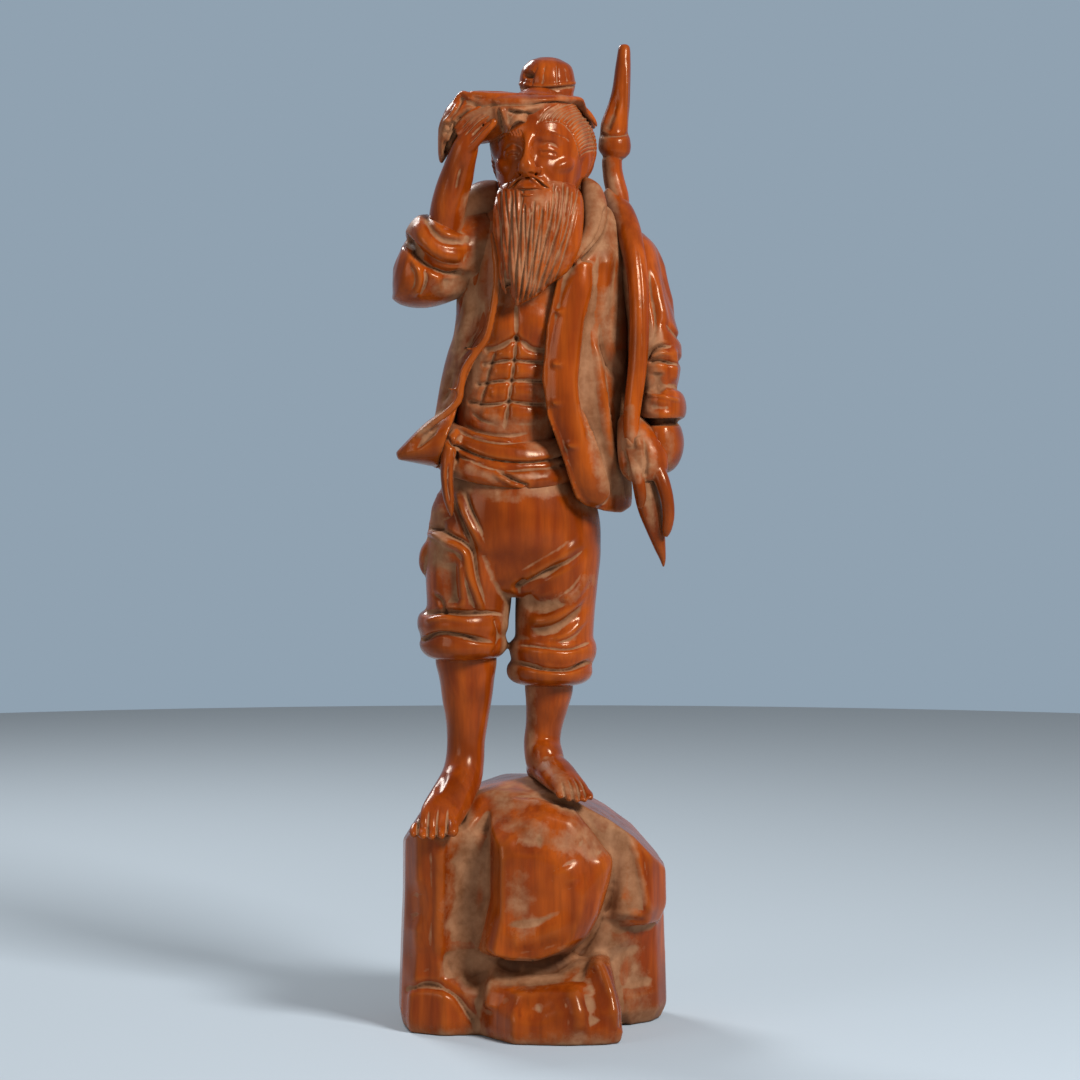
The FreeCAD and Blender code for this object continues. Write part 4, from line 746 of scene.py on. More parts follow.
SASH_STROKES = (
    ("groove", 4.5, 1.5, [(448, 440), (462, 449), (480, 457), (500, 462), (525, 464), (545, 462),
                          (566, 457)]),
    ("groove", 4, 1.4, [(496, 469), (505, 474), (514, 480), (526, 486)], (0.2, 0)),
    ("ridge", 4, 0.7, [(492, 474), (503, 479), (514, 485)], (0.3, 0.2)),
    ("groove", 3, 0.8, [(456, 428), (475, 437), (500, 442), (535, 441)], (0.1, 0.4)),
    ("ridge", 3, 0.4, [(455, 425), (475, 434), (500, 439), (540, 438)], (0.1, 0.4)),
    ("groove", 3, 0.7, [(470, 462), (490, 468), (515, 470), (545, 468)], (0.3, 0.4)),
    ("groove", 3.2, 1.0, [(449, 462), (448, 480), (450, 505)], (0.2, 0.2)),
    ("groove", 3, 0.8, [(460, 434), (456, 450), (457, 466)], (0.2, 0.3)),
    ("dust", 9, 0.5, [(470, 468), (500, 478), (545, 474)]),
    ("dust", 10, 0.4, [(530, 447), (556, 450)]),
)


def sash_shape(bm):
    for rows in SASH:
        stack(bm, rows, sides=44)
    for vert in bm.verts:
        vert.co.z -= SASH_SAG * max(0.0, SASH_Y - vert.co.y) + SASH_LEAN * (vert.co.x - SASH_X)
    seen_limb(bm, SASH_TAIL_PX, sides=24)


TORSO = (
    (136, -6.8, 1.5, 12.5, 10), (148, -6.3, 1.2, 13, 10.4), (160, -4.8, 1, 14.5, 11),
    (172, -3, 1, 16.5, 11.9), (185, -0.5, 1.5, 18.5, 13), (196, 2.2, 2, 19, 12.5), (204, 3.6, 2.5, 15, 10),
    (208, 3.5, 2.5, 9, 8), (216, 2.8, 1, 6.2, 6.5), (219, 2.8, 1, 6, 6))
CHEST_STROKES = (
    ("ridge", 20, 1.0, [(498, 322), (500, 326)]),
    ("ridge", 20, 1.0, [(536, 322), (538, 326)]),
    ("hollow", 5, 0.8, [(487, 350), (497, 348), (507, 343), (515, 339), (523, 343), (532, 349), (545, 351)]),
    ("hollow", 4, 0.5, [(516, 300), (516, 338)], (0.3, 0)),
    ("groove", 4, 0.9, [(484, 365), (498, 362), (513, 361), (528, 362), (545, 363)]),
    ("groove", 4, 0.9, [(478, 385), (494, 382), (511, 381), (528, 381), (545, 382)]),
    ("groove", 4, 0.9, [(470, 402), (484, 405), (499, 404), (510, 402), (526, 404), (545, 405)]),
    ("groove", 5, 1.0, [(516, 338), (514, 360), (511, 383), (508, 404), (504, 432)], (0, 0.2)),
    ("groove", 4.5, 0.8, [(495, 350), (489, 368), (484, 388), (478, 408)], (0.1, 0.2)),
    ("ridge", 6, 0.35, [(503, 354), (509, 355)]),
    ("ridge", 6, 0.35, [(523, 354), (530, 355)]),
    ("ridge", 7, 0.4, [(498, 372), (506, 372)]),
    ("ridge", 7, 0.4, [(521, 372), (530, 372)]),
    ("ridge", 7, 0.4, [(494, 393), (503, 393)]),
    ("ridge", 7, 0.4, [(519, 393), (530, 393)]),
    ("ridge", 9, 0.5, [(486, 416), (497, 418)]),
    ("ridge", 9, 0.5, [(517, 416), (530, 416)]),
    ("groove", 4, 0.5, [(463, 424), (482, 433), (506, 436), (530, 433)], (0.1, 0.2)),
    ("groove", 3, 0.4, [(470, 412), (482, 420), (496, 424)], (0.2, 0.4)),
)
CHEST_DUST = (
    ("dust", 20, 0.5, [(485, 360), (480, 400), (500, 425), (530, 425)]),
    ("dust", 8, 0.25, [(530, 372), (528, 395)]),
)


def torso_shape(bm):
    stack(bm, TORSO, sides=40)


JACKET = (
    (126, 0, 1.5, 24.2, 15.4), (130, 0, 1.5, 24.6, 15.8), (134, 0, 1.5, 24.8, 16), (146, -0.4, 1.5, 24.8, 16),
    (160, 0.6, 1.5, 23.6, 15.4), (170, 2, 1.5, 22.2, 15), (180, 2.6, 1.7, 21.6, 15.2),
    (188, 2.8, 1.9, 21.4, 15.2), (194, 3.4, 2.2, 21.3, 14.8), (201, 4, 2.5, 18.5, 12.6),
    (206, 3.8, 2.6, 12.5, 10), (210, 3.6, 2.4, 9.6, 8.8))
JACKET_FLARE = (
    (-14, 0, 147, 13, 8), (-20, -3, 146.8, 11, 7.4), (-24, -5, 146, 8.6, 6.2), (-30, -7, 144.2, 5, 3),
    (-33.6, -7.6, 143, 1.6, 1.0))
# The jacket's shoulder rises beside the neck with the raised arm.
JACKET_SHOULDER_PX = (
    (462, 222, 2, 18, 6.5), (478, 206, 2, 21, 7.5), (490, 199, 2.2, 20, 7.5), (502, 195, 2.4, 15, 7))
# The thick front panel on the viewer's right, with its rounded edge.
JACKET_PANEL_PX = (
    (583, 262, -11.2, 9, 2.2), (578, 285, -11.8, 15, 2.7), (573, 310, -12, 17, 2.8), (568, 340, -12, 19, 2.8),
    (565, 365, -12.1, 19.5, 2.8), (564, 388, -12.3, 19, 2.8), (566, 405, -12.4, 19, 2.8),
    (573, 425, -12.4, 18, 2.8), (580, 445, -12.4, 17.5, 2.8), (587, 465, -12.2, 17.5, 2.7),
    (592, 482, -11.8, 17, 2.6), (598, 494, -11.2, 15, 2.2), (604, 501, -10.6, 9, 1.6))
JACKET_HEM = (
    (-60, 110), (-60, 143.5), (-34, 142), (-22, 139.5), (-15, 139), (-9, 136), (10.5, 133), (13, 131),
    (18, 129.4), (22, 128.9), (25, 130.6), (40, 134), (60, 134), (60, 110))
# The jacket is cut away to the front of this depth inside its opening, and all through below its hem.
OPENING_DEPTH, CUT_REACH = 1.0, 40
JACKET_FRONT = (
    (-8.6, 214), (-8.6, 196), (-8.8, 186), (-10.8, 174), (-16, 163), (-18.2, 157), (-19.6, 152),
    (-21.6, 146.5), (-23.8, 139.5), (-24, 110), (16, 110), (13, 128), (10.2, 134), (7.6, 142), (3.6, 153),
    (2.4, 162), (3.4, 175), (6.4, 189), (11.5, 200), (14, 214))
LEFT_RIM_PX = (
    (492, 232, -11.4, 2.4), (495, 250, -12.6, 4), (497.5, 272, -13, 4.6), (496, 292, -12.8, 4.4),
    (492, 315, -12.4, 4.2), (486, 338, -12.2, 4.2), (475, 354, -12.4, 4.2), (464.5, 370, -12.8, 4.2),
    (461, 386, -13.2, 4.2), (458.5, 400, -13.6, 4.2), (449, 411, -13.6, 4), (436, 421, -13, 3.8),
    (420, 434, -11.6, 3.4), (404, 449, -9.4, 2.6), (399, 454, -8.2, 1.6))
COLLAR_PX = (
    (587, 184, -1, 6, 2.4), (591, 191, -3.4, 11, 3), (594, 204, -6.4, 13, 3), (595, 218, -9, 12.4, 2.6),
    (592, 232, -11.6, 10, 2.2), (585, 244, -13.4, 7.6, 1.9), (578, 254, -14.4, 5.2, 1.6),
    (571, 263, -14.8, 2.6, 1.1))
BUTTONS_PX = (
    (561, 312, -14.2), (557, 364, -14.9), (556, 403, -15.1), (572, 446, -15.2), (468, 348, -12),
    (453, 389, -13))
# A toggle's rows: pixels and depth from its middle, and half width in pixels.
BUTTON = ((-6, -1, 0.3, 0.6), (-3, 0, 0, 1.6), (1, 0.5, -0.1, 1.9), (5, 0, 0, 1.5), (8, -0.5, 0.4, 0.6))
JACKET_STROKES = (
    ("hollow", 12, 1.2, [(596, 285), (590, 330), (585, 380), (592, 430), (602, 470)], (0.2, 0.2)),
    ("ridge", 10, 1.2, [(608, 245), (604, 280), (600, 330)], (0.2, 0.5)),
    ("groove", 9, 2.2, [(600, 312), (603, 340), (610, 362), (618, 378)], (0.5, 0.2)),
    ("ridge", 6, 1.3, [(598, 345), (600, 380), (605, 425), (611, 460), (618, 492)], (0.3, 0.1)),
    ("step", 7, 1.0, [(604, 360), (606, 400), (612, 440), (620, 478), (626, 500)], (0.3, 0.1)),
    ("groove", 4, 1.2, [(607, 205), (604, 222), (597, 240), (588, 252), (577, 264)], (0.1, 0.2)),
    ("ridge", 8, 0.8, [(470, 290), (466, 320), (455, 350)], (0.3, 0.3)),
    ("groove", 6, 1.0, [(484, 300), (480, 325), (470, 342), (457, 362)], (0.3, 0.3)),
    ("groove", 5, 0.8, [(452, 372), (448, 390), (440, 406)], (0.3, 0.3)),
    ("groove", 5, 0.9, [(474, 235), (476, 262), (474, 290)], (0.3, 0.3)),
    ("groove", 4, 0.8, [(440, 424), (428, 438), (414, 450)], (0.3, 0.2)),
)
JACKET_DUST = (
    ("dust", 26, 0.75, [(478, 200), (474, 250), (474, 300)]),
    ("dust", 18, 0.7, [(470, 310), (455, 350), (445, 395), (425, 430)]),
    ("dust", 16, 0.8, [(594, 190), (594, 230), (585, 250)]),
    ("dust", 22, 0.7, [(612, 215), (606, 250)]),
    ("dust", 20, 0.65, [(605, 300), (600, 350), (592, 390), (598, 440), (610, 485)]),
    ("dust", 14, 0.8, [(622, 360), (625, 410), (628, 450), (628, 490)]),
)
JACKET_BACK = (
    ("hollow", 5, 0.7, [(20, 188), (12, 176), (4, 168)], (0.3, 0.4)),
    ("hollow", 5, 0.7, [(-14, 186), (-8, 174), (0, 164)], (0.3, 0.4)),
    ("ridge", 5, 0.6, [(16, 178), (8, 168), (0, 160), (-6, 150)], (0.3, 0.3)),
    ("groove", 3, 0.6, [(-12, 172), (-14, 155), (-16, 140)], (0.4, 0)),
    ("groove", 3, 0.6, [(2, 162), (4, 148), (5, 132)], (0.4, 0)),
    ("groove", 3, 0.6, [(14, 168), (15, 150), (17, 131)], (0.4, 0)),
    ("ridge", 5, 0.5, [(-7, 165), (-6, 150), (-6, 136)], (0.4, 0)),
    ("ridge", 5, 0.5, [(9, 165), (10, 148), (11, 131)], (0.4, 0)),
    ("groove", 1.6, 0.8, [(-8, 205), (3, 203), (14, 204)], (0.1, 0.1)),
    ("dust", 9, 0.4, [(0, 190), (4, 165)]),
)


def jacket_shape(bm):
    stack(bm, JACKET, sides=44)
    sheaf(bm, JACKET_FLARE, sides=28)
    seen_limb(bm, JACKET_SHOULDER_PX, sides=28)


def jacket_opening(bm):
    prism(bm, JACKET_FRONT, -CUT_REACH, OPENING_DEPTH)
    prism(bm, JACKET_HEM, -CUT_REACH, CUT_REACH)


def jacket_trim(bm):
    """The rolled front edges, the collar and the toggles."""
    seen_strand(bm, LEFT_RIM_PX)
    seen_limb(bm, JACKET_PANEL_PX, sides=24)
    seen_limb(bm, COLLAR_PX, sides=20)
    for px, py, depth in BUTTONS_PX:
        seen_strand(bm, [(px + right, py + down, depth + back, half) for right, down, back, half in BUTTON],
                    step=0.4)


RIGHT_SLEEVE_PX = (
    (395.6, 262, -2.5, 7, 2.6), (398, 263, -2.5, 22, 6), (403, 264, -2.4, 33, 8.6),
    (412, 268, -2, 38.5, 10.2), (425, 270, -1.5, 38, 10.8), (440, 267, -1, 36, 11), (455, 258, 0, 38, 11),
    (472, 248, 1, 38, 10.4), (492, 240, 2, 36, 9.4))
RIGHT_ROLL_PX = (
    (432, 259, -4, 26, 7.4), (434, 256, -4, 33.5, 9.2), (438, 249, -4, 36.8, 10), (443, 239, -4.2, 36.4, 10),
    (447.5, 230, -4.3, 32.5, 9.2), (449.6, 226, -4.4, 26, 7.4))
RIGHT_SLEEVE_STROKES = (
    ("groove", 7, 2.0, [(404, 238), (412, 248), (421, 259), (433, 268), (448, 274), (466, 274)], (0, 0.1)),
    ("ridge", 5, 0.9, [(411, 258), (419, 272), (419, 286), (412, 297)], (0.2, 0.2)),
    ("groove", 4, 0.6, [(424, 266), (426, 280), (420, 296)], (0.2, 0.3)),
    ("hollow", 12, 1.4, [(440, 285), (458, 282), (468, 280)], (0.2, 0)),
    ("hollow", 7, 1.1, [(424, 214), (432, 230), (444, 240), (460, 242), (470, 241)], (0.1, 0.1)),
    ("ridge", 8, 0.7, [(414, 222), (424, 240), (440, 254), (464, 258)], (0.2, 0.1)),
    ("dust", 14, 0.6, [(402, 235), (415, 215), (425, 205)]),
    ("dust", 18, 0.7, [(440, 288), (462, 284), (480, 250)]),
    ("dust", 8, 0.6, [(428, 222), (440, 238), (466, 240)]),
)
LEFT_SLEEVE_PX = (
    (638, 234, 3, 6, 4), (637, 240, 2.8, 14, 7), (637, 250, 2.5, 19.5, 9), (638, 264, 2, 22.5, 9.6),
    (643, 290, 1, 22.8, 9.8), (650, 320, 0, 24, 10), (654, 345, -1, 27, 10.4), (655, 362, -1.6, 26.6, 10.2),
    (656, 378, -2, 23.6, 9.4), (657, 394, -2.4, 19, 8))
LEFT_ROLLS_PX = (
    ((661, 391, -2.6, 16, 7.6), (661, 394, -2.7, 21.5, 9.4), (661, 402, -2.9, 25, 10.4),
     (661, 412, -3, 25.4, 10.4), (661, 419, -3, 22.6, 9.6), (661, 422, -3, 17, 7.6)),
    ((661, 422, -3, 16, 7.4), (661, 426, -3, 19.6, 8.8), (661, 438, -3, 23, 9.4), (660.5, 450, -3, 22.8, 9.2),
     (659, 461, -3, 19.4, 8), (657, 469, -3, 13, 6), (656, 473, -3, 6, 3)))
LEFT_SLEEVE_STROKES = (
    ("groove", 4, 1.7, [(645, 360), (652, 351), (662, 346), (673, 348)], (0.1, 0.3)),
    ("groove", 3.5, 1.4, [(648, 362), (660, 361), (670, 363), (679, 366)], (0.1, 0.3)),
    ("ridge", 4, 0.9, [(650, 357), (661, 353), (672, 356)], (0.1, 0.3)),
    ("ridge", 6, 0.8, [(655, 268), (660, 300), (667, 330)], (0.3, 0.3)),
    ("groove", 4, 0.8, [(649, 262), (652, 295), (656, 325), (650, 345)], (0.3, 0.3)),
    ("ridge", 6, 0.9, [(672, 345), (674, 365), (672, 385)], (0.2, 0.2)),
    ("hollow", 10, 0.9, [(658, 372), (658, 388)], (0.2, 0)),
    ("ridge", 3, 0.5, [(645, 394), (660, 396), (680, 401)], (0.1, 0.1)),
    ("hollow", 7, 0.6, [(646, 406), (664, 408), (676, 408)], (0.2, 0.3)),
    ("groove", 4, 1.6, [(636, 421), (655, 422), (672, 422), (688, 421)]),
    ("dust", 14, 0.7, [(655, 330), (656, 385)]),
    ("dust", 12, 0.4, [(652, 400), (652, 416)]),
    ("dust", 14, 0.4, [(668, 435), (668, 462)]),
)
LEFT_SLEEVE_SIDE = (
    ("groove", 1.6, 1.2, [(-10, 176), (-3, 172), (6, 175)], (0.2, 0.3)),
    ("groove", 1.6, 1.0, [(-9, 168), (0, 166), (8, 169)], (0.2, 0.3)),
    ("ridge", 3, 0.9, [(2, 196), (0, 184), (3, 176)], (0.3, 0.3)),
)


def right_sleeve_shape(bm):
    seen_limb(bm, RIGHT_SLEEVE_PX, sides=40)
    seen_limb(bm, RIGHT_ROLL_PX, sides=40)


def left_sleeve_shape(bm):
    for rows in (LEFT_SLEEVE_PX, *LEFT_ROLLS_PX):
        seen_limb(bm, rows, sides=40)


# ---------- arms and hands

FOREARM_PX = (
    (443, 262, -3.5, 18, 5), (445, 238, -5, 18, 5.6), (447.5, 212, -7.5, 17.8, 5.2),
    (452, 192, -9.5, 17.4, 4.6), (457, 176, -11.2, 16.6, 4), (461.5, 160, -13, 14.6, 3.6),
    (466, 146, -14.4, 13, 3), (471, 135, -15, 9, 2.2), (474, 130, -15, 4, 1.4))
FINGERS_PX = (
    ((466, 152, -15.4, 6.4), (476, 141, -16.8, 5.6), (486, 130, -17.6, 4.8), (494, 122, -17.6, 4),
     (497.5, 118.5, -17.2, 2.4)),
    ((462, 142, -15, 5.4), (472, 130, -16.2, 4.6), (483, 119, -16.9, 4.2), (492, 113.5, -16.8, 3.4),
     (496, 112, -16.4, 2)),
    ((459, 135, -14.6, 5), (468, 124, -15.6, 4.2), (479, 114.5, -16.2, 3.8), (488, 109, -16, 3),
     (491.5, 107.5, -15.6, 1.8)),
    ((457, 130, -14, 4.4), (465, 119, -14.8, 3.8), (474, 111, -15.2, 3.2), (481, 107.5, -15, 2.4),
     (484, 106.5, -14.8, 1.4)))
FOREARM_STROKES = (
    ("hollow", 4, 0.5, [(455, 196), (458, 178), (463, 162)], (0.3, 0.3)),
    ("groove", 2, 0.5, [(468, 146), (482, 130), (492, 120)], (0.2, 0.1)),
    ("groove", 2, 0.5, [(463, 137), (476, 123), (489, 114)], (0.2, 0.1)),
    ("groove", 2, 0.5, [(459, 130), (470, 118), (483, 110)], (0.2, 0.1)),
    ("dust", 9, 0.5, [(470, 120), (492, 108)]),
    ("dust", 8, 0.5, [(466, 195), (462, 230)]),
)
LEFT_HAND_PX = (
    (630, 424, -5, 14, 5), (636, 438, -8, 20, 5.4), (641, 452, -10, 24, 5.2), (645, 464, -11, 25, 4.6),
    (650, 474, -11.6, 20, 3.8), (652, 481, -11.8, 12, 2.6))
LEFT_FINGERS_PX = (
    ((655, 466, -12.4, 9), (662, 481, -13.8, 7.8), (667, 498, -14.2, 6.8), (668.6, 515, -13.8, 6.2),
     (667, 529, -13.2, 5), (665.4, 536.5, -12.6, 2.4)),
    ((628, 450, -12, 8), (634, 466, -13.8, 7.4), (639, 482, -14.8, 6.2), (641.6, 497, -14.8, 5.2),
     (640.6, 508, -14, 2.8)))
LEFT_HAND_STROKES = (
    ("ridge", 6, 0.8, [(637, 436), (640, 450)], (0.2, 0.3)),
    ("ridge", 5, 0.7, [(628, 436), (630, 448)], (0.2, 0.3)),
    ("groove", 4, 0.8, [(644, 440), (646, 460), (645, 478)], (0.3, 0.1)),
    ("groove", 4, 0.8, [(620, 440), (626, 462), (628, 480)], (0.3, 0.1)),
    ("dust", 30, 0.8, [(630, 435), (642, 465)]),
)


def right_forearm_shape(bm):
    seen_limb(bm, FOREARM_PX)
    for rows in FINGERS_PX:
        seen_strand(bm, rows)


def left_hand_shape(bm):
    seen_limb(bm, LEFT_HAND_PX)
    for rows in LEFT_FINGERS_PX:
        seen_strand(bm, rows)


# ---------- head

# The skull's rows: height, how far forward its middle is, half width and half depth.
SKULL = (
    (199.5, 6, 3.5, 4), (202.5, 6.2, 6.2, 6.8), (205.5, 5, 8.2, 8.6), (209.5, 3.6, 9.8, 10.2),
    (213.5, 1.8, 10.9, 12.2), (217.5, 0.6, 11.2, 13), (222, 0.2, 11.4, 13.5), (226, -0.4, 10.8, 12.8),
    (229, -1.2, 9, 10.8), (231, -1.8, 6, 7.4), (231.9, -2.2, 3, 4))
# The hair's rows run back from the hairline: how far forward, height, half width and half height.
HAIR = (
    (9.8, 221.9, 6.4, 5.4), (8.9, 221.9, 8.4, 7.3), (6.6, 221.6, 11.2, 9.7), (3, 220.9, 12.4, 10.9),
    (-2, 219.8, 13, 11.8), (-8, 218.8, 12.6, 12), (-12.4, 218.5, 9.6, 10), (-14.6, 218, 4, 5))
NOSE = (
    (12.6, 221.5, 1.8, 1.5), (13.6, 218.6, 1.5, 1.7), (14.7, 216, 1.7, 1.9), (15.4, 214.1, 2.1, 2),
    (15.4, 212.9, 2.3, 1.8), (14.2, 211.9, 1.8, 1.3))
# These strands are carved on both sides of the face: distance from its middle, forward, height and radius.
FACE_PAIRS = (
    ((2, 13.2, 213.2, 0.9), (2.3, 13.6, 212.7, 1.15), (1.9, 13.9, 212.3, 0.9)),
    ((1.6, 12.6, 221.4, 0.8), (3.8, 12, 222, 1.1), (6.4, 10.5, 221.7, 1.0), (8.4, 8.2, 220.4, 0.6)),
    ((3, 9.6, 211.4, 0.5), (4, 9.5, 212.2, 1.5), (5.2, 9.1, 213.2, 2.3), (6.6, 8.3, 214, 2.5),
     (8, 7, 214.8, 2.2), (9, 5.8, 215.6, 1.2), (9.6, 5, 216, 0.4)),
    ((0.6, 14, 210.9, 0.6), (2, 14, 210.5, 0.9), (3.7, 13.3, 209.4, 0.95), (5.2, 12.2, 207.2, 0.85),
     (6, 11.4, 204.4, 0.6), (6.2, 11, 202, 0.3)),
    ((10.8, 2.8, 217.2, 0.5), (11.5, 1.8, 219.6, 0.8), (12.2, 0, 220, 0.9), (12.3, -0.9, 218, 0.9),
     (11.8, -0.4, 215.2, 0.85), (11.1, 0.7, 212.8, 0.8), (10.4, 1.6, 211.6, 0.7)),
    ((10.6, 0.8, 219.4, 0.8), (11, 0.8, 217.6, 1.4), (10.9, 0.8, 215.4, 1.6), (10.4, 1, 213, 1.2),
     (10, 1.2, 212, 0.7)))
MUZZLE = ((-3, 10, 208.6, 3.6), (0, 10.7, 208.6, 4), (3, 10, 208.6, 3.6))
LIPS = (
    ((-3, 13.1, 208.2, 0.45), (-1.4, 14.3, 208.7, 0.6), (0, 14.55, 208.45, 0.55), (1.4, 14.3, 208.7, 0.6),
     (3, 13.1, 208.2, 0.45)),
    ((-2.6, 13.2, 207, 0.45), (0, 14.6, 206.7, 0.85), (2.6, 13.2, 207, 0.45)))
# These strokes are cut on both sides of the face: the eye's hollow and ball, its lids, and lines of age.
SIDE_LINES = (
    ("hollow", 3.8, 0.5, [(6, 217.4), (4.6, 217.6), (3.2, 217.4)]),
    ("hollow", 2.2, 0.4, [(2.4, 219), (2.4, 217)]),
    ("ridge", 1.8, 0.55, [(5.8, 217.2), (4.6, 217.35), (3.5, 217.2)]),
    ("hollow", 0.8, 0.22, [(2.7, 218.2), (3.7, 219.1), (4.8, 219.4), (6.1, 218.9), (7.1, 217.7)],
     (0.25, 0.25)),
    ("hollow", 0.7, 0.42, [(2.7, 216.9), (3.7, 217.1), (4.8, 217.15), (5.9, 216.9), (6.8, 216.5)],
     (0.15, 0.15)),
    ("hollow", 1.2, 0.25, [(2.9, 213), (4.3, 211.6), (5.6, 209.8)], (0.3, 0.4)),
    ("hollow", 0.7, 0.35, [(1, 211.7), (1.4, 211.7)]),
    ("dust", 11, -0.5, [(3, 216), (4, 214)]),
)
FACE_LINES = (
    ("hollow", 0.8, 0.55, [(-2.9, 207.7), (0, 207.6), (2.9, 207.7)], (0.1, 0.1)),
    ("hollow", 0.9, 0.16, [(-5, 224.6), (0, 225), (5, 224.6)], (0.3, 0.3)),
    ("hollow", 0.8, 0.14, [(-4.4, 226.4), (0, 226.9), (4.4, 226.4)], (0.3, 0.3)),
)
HAIR_EDGE = (
    ("step", 4, -0.2, [(538, 124), (548, 121), (560, 122), (569, 129), (575, 139), (579, 152), (581, 166)],
     (0.2, 0.2)),
    ("dust", 14, 0.5, [(545, 116), (575, 116), (590, 140)]),
)
# Where the combed hair leaves the hairline, and where it goes out of sight over the crown.
HAIR_FROM_PX = ((536, 126), (546, 122), (558, 122), (568, 128), (574, 138), (577, 148), (579, 158))
HAIR_TO_PX = ((562, 102), (572, 103), (583, 108), (592, 116), (599, 126), (602, 137), (603, 150))


def paired(bm, pairs):
    """Strands on both sides of the face."""
    for rows in pairs:
        for side in (1, -1):
            strand(bm, [(*on_face(side * u, w, v), radius) for u, w, v, radius in rows], step=0.5)


def head_shape(bm):
    limb(bm, [(*on_face(0, w, v), half_u, half_w) for v, w, half_u, half_w in SKULL],
         facing=FACE_FRONT, sides=40)
    limb(bm, [(*on_face(0, w, v), half_u, half_v) for w, v, half_u, half_v in HAIR], facing=UPWARD, sides=40)
    limb(bm, [(*on_face(0, w, v), half_u, half_w) for w, v, half_u, half_w in NOSE],
         facing=FACE_FRONT, sides=20, step=0.8)
    paired(bm, FACE_PAIRS)
    for rows in (MUZZLE, *LIPS):
        strand(bm, [(*on_face(u, w, v), radius) for u, w, v, radius in rows], step=0.5)


def comb_lines(paths, width, depth, fades=(0.1, 0.1)):
    """Grooves of one size along many paths."""
    return [("groove", width, depth, path, fades) for path in paths]


def mirrored(strokes):
    """The same strokes on both sides of the face."""
    return [(kind, width, depth, [(side * u, v) for u, v in path], *fades)
            for kind, width, depth, path, *fades in strokes for side in (1, -1)]


# Hairs side by side: how many, then each point of the first hair and its step to the next hair.
MOUSTACHE_HAIRS = (6, ((0.7, 211.2, 0.3, -0.1), (2.6, 209.9, 0.25, -0.2), (4.4, 207.6, 0.3, 0.1)))
SIDE_HAIRS = (15, ((-9, 226, 0.4, -1.25), (0, 227.5, 0, -0.95), (6, 229, 0, -0.5)))
# Hairs that fan out round the back of the head: how many, how far the fan opens in radians, then each point's
# middle across and half width, and its middle height and half height.
BACK_HAIRS = (23, 1.25, ((2.4, 13.6, 219, 13), (2.6, 9, 224, 7), (3.4, 4.6, 230, 0)))
FRONT_HAIRS, FRONT_HAIR_BEND_PX = 19, 2.5
BROW_HAIRS = 9


def brow_hairs():
    """Short hairs that lean outwards along the brow."""
    return [[(1.5 + 0.8 * k, 221.2 + 0.25 * math.sin(0.4 * k)), (2.2 + 0.85 * k, 222.6 - 0.04 * k * k)]
            for k in range(BROW_HAIRS)]


def beside(count, hair):
    """Hairs side by side, each a step from the one before."""
    return [[(u + step_u * k, v + step_v * k) for u, v, step_u, step_v in hair] for k in range(count)]


def fanned(count, opening, hair):
    """Hairs that fan out round the back of the head, combed up to the knot."""
    return [[(x + wide * math.sin(angle), z - tall * math.cos(angle)) for x, wide, z, tall in hair]
            for angle in np.linspace(-opening, opening, count)]


def front_hair():
    """Fine lines that are combed back from the hairline."""
    lines = []
    for t in np.linspace(0, len(HAIR_FROM_PX) - 1, FRONT_HAIRS):
        start, end = ([np.interp(t, range(len(row)), [point[axis] for point in row]) for axis in (0, 1)]
                      for row in (HAIR_FROM_PX, HAIR_TO_PX))
        bend = [(first + last) / 2 - FRONT_HAIR_BEND_PX for first, last in zip(start, end)]
        lines.append([start, bend, end])
    return lines


HEAD_WORK = (
    ("face", mirrored(SIDE_LINES)),
    ("face", FACE_LINES),
    ("face", mirrored(comb_lines(brow_hairs(), 0.4, 0.18))),
    ("picture", HAIR_EDGE),
    ("picture", comb_lines(front_hair(), 1.8, 0.4, (0.2, 0.1))),
    ("face", mirrored(comb_lines(beside(*MOUSTACHE_HAIRS), 0.45, 0.25))),
    ("back", comb_lines(fanned(*BACK_HAIRS), 0.55, 0.45)),
    ("right", comb_lines(beside(*SIDE_HAIRS), 0.5, 0.4)),
    ("left", comb_lines(beside(*SIDE_HAIRS), 0.5, 0.4)),
)

TOPKNOT = (
    (229.3, 3.6, 0.6, 6.4, 6.4), (233, 3.6, 0.6, 6.5, 6.5), (234.3, 3.6, 0.6, 6.9, 6.9),
    (236.6, 3.6, 0.6, 6.9, 6.9), (239, 3.9, 0.6, 6.2, 6.2), (240.6, 4, 0.6, 4.9, 4.9),
    (241.6, 4.1, 0.6, 2.6, 2.6), (241.9, 4.1, 0.6, 0.6, 0.6))
TOPKNOT_COMBED_PX = (
    [(530, 66), (524, 80), (523, 88)],
    [(538, 63), (533, 78), (532, 88)],
    [(546, 61), (543, 78), (542, 88)],
    [(556, 61), (557, 78), (557, 88)],
    [(564, 64), (567, 78), (568, 88)])
TOPKNOT_STROKES = (
    ("groove", 3, 0.5, [(519, 88), (535, 90), (555, 89), (575, 87)]),
    ("ridge", 3, 0.4, [(520, 84), (540, 86), (574, 83)]),
    ("hollow", 4.5, 2.4, [(527, 75), (530, 75)]),
    *comb_lines(TOPKNOT_COMBED_PX, 2, 0.25, (0.2, 0.1)),
)


def topknot_shape(bm):
    stack(bm, TOPKNOT, sides=40)


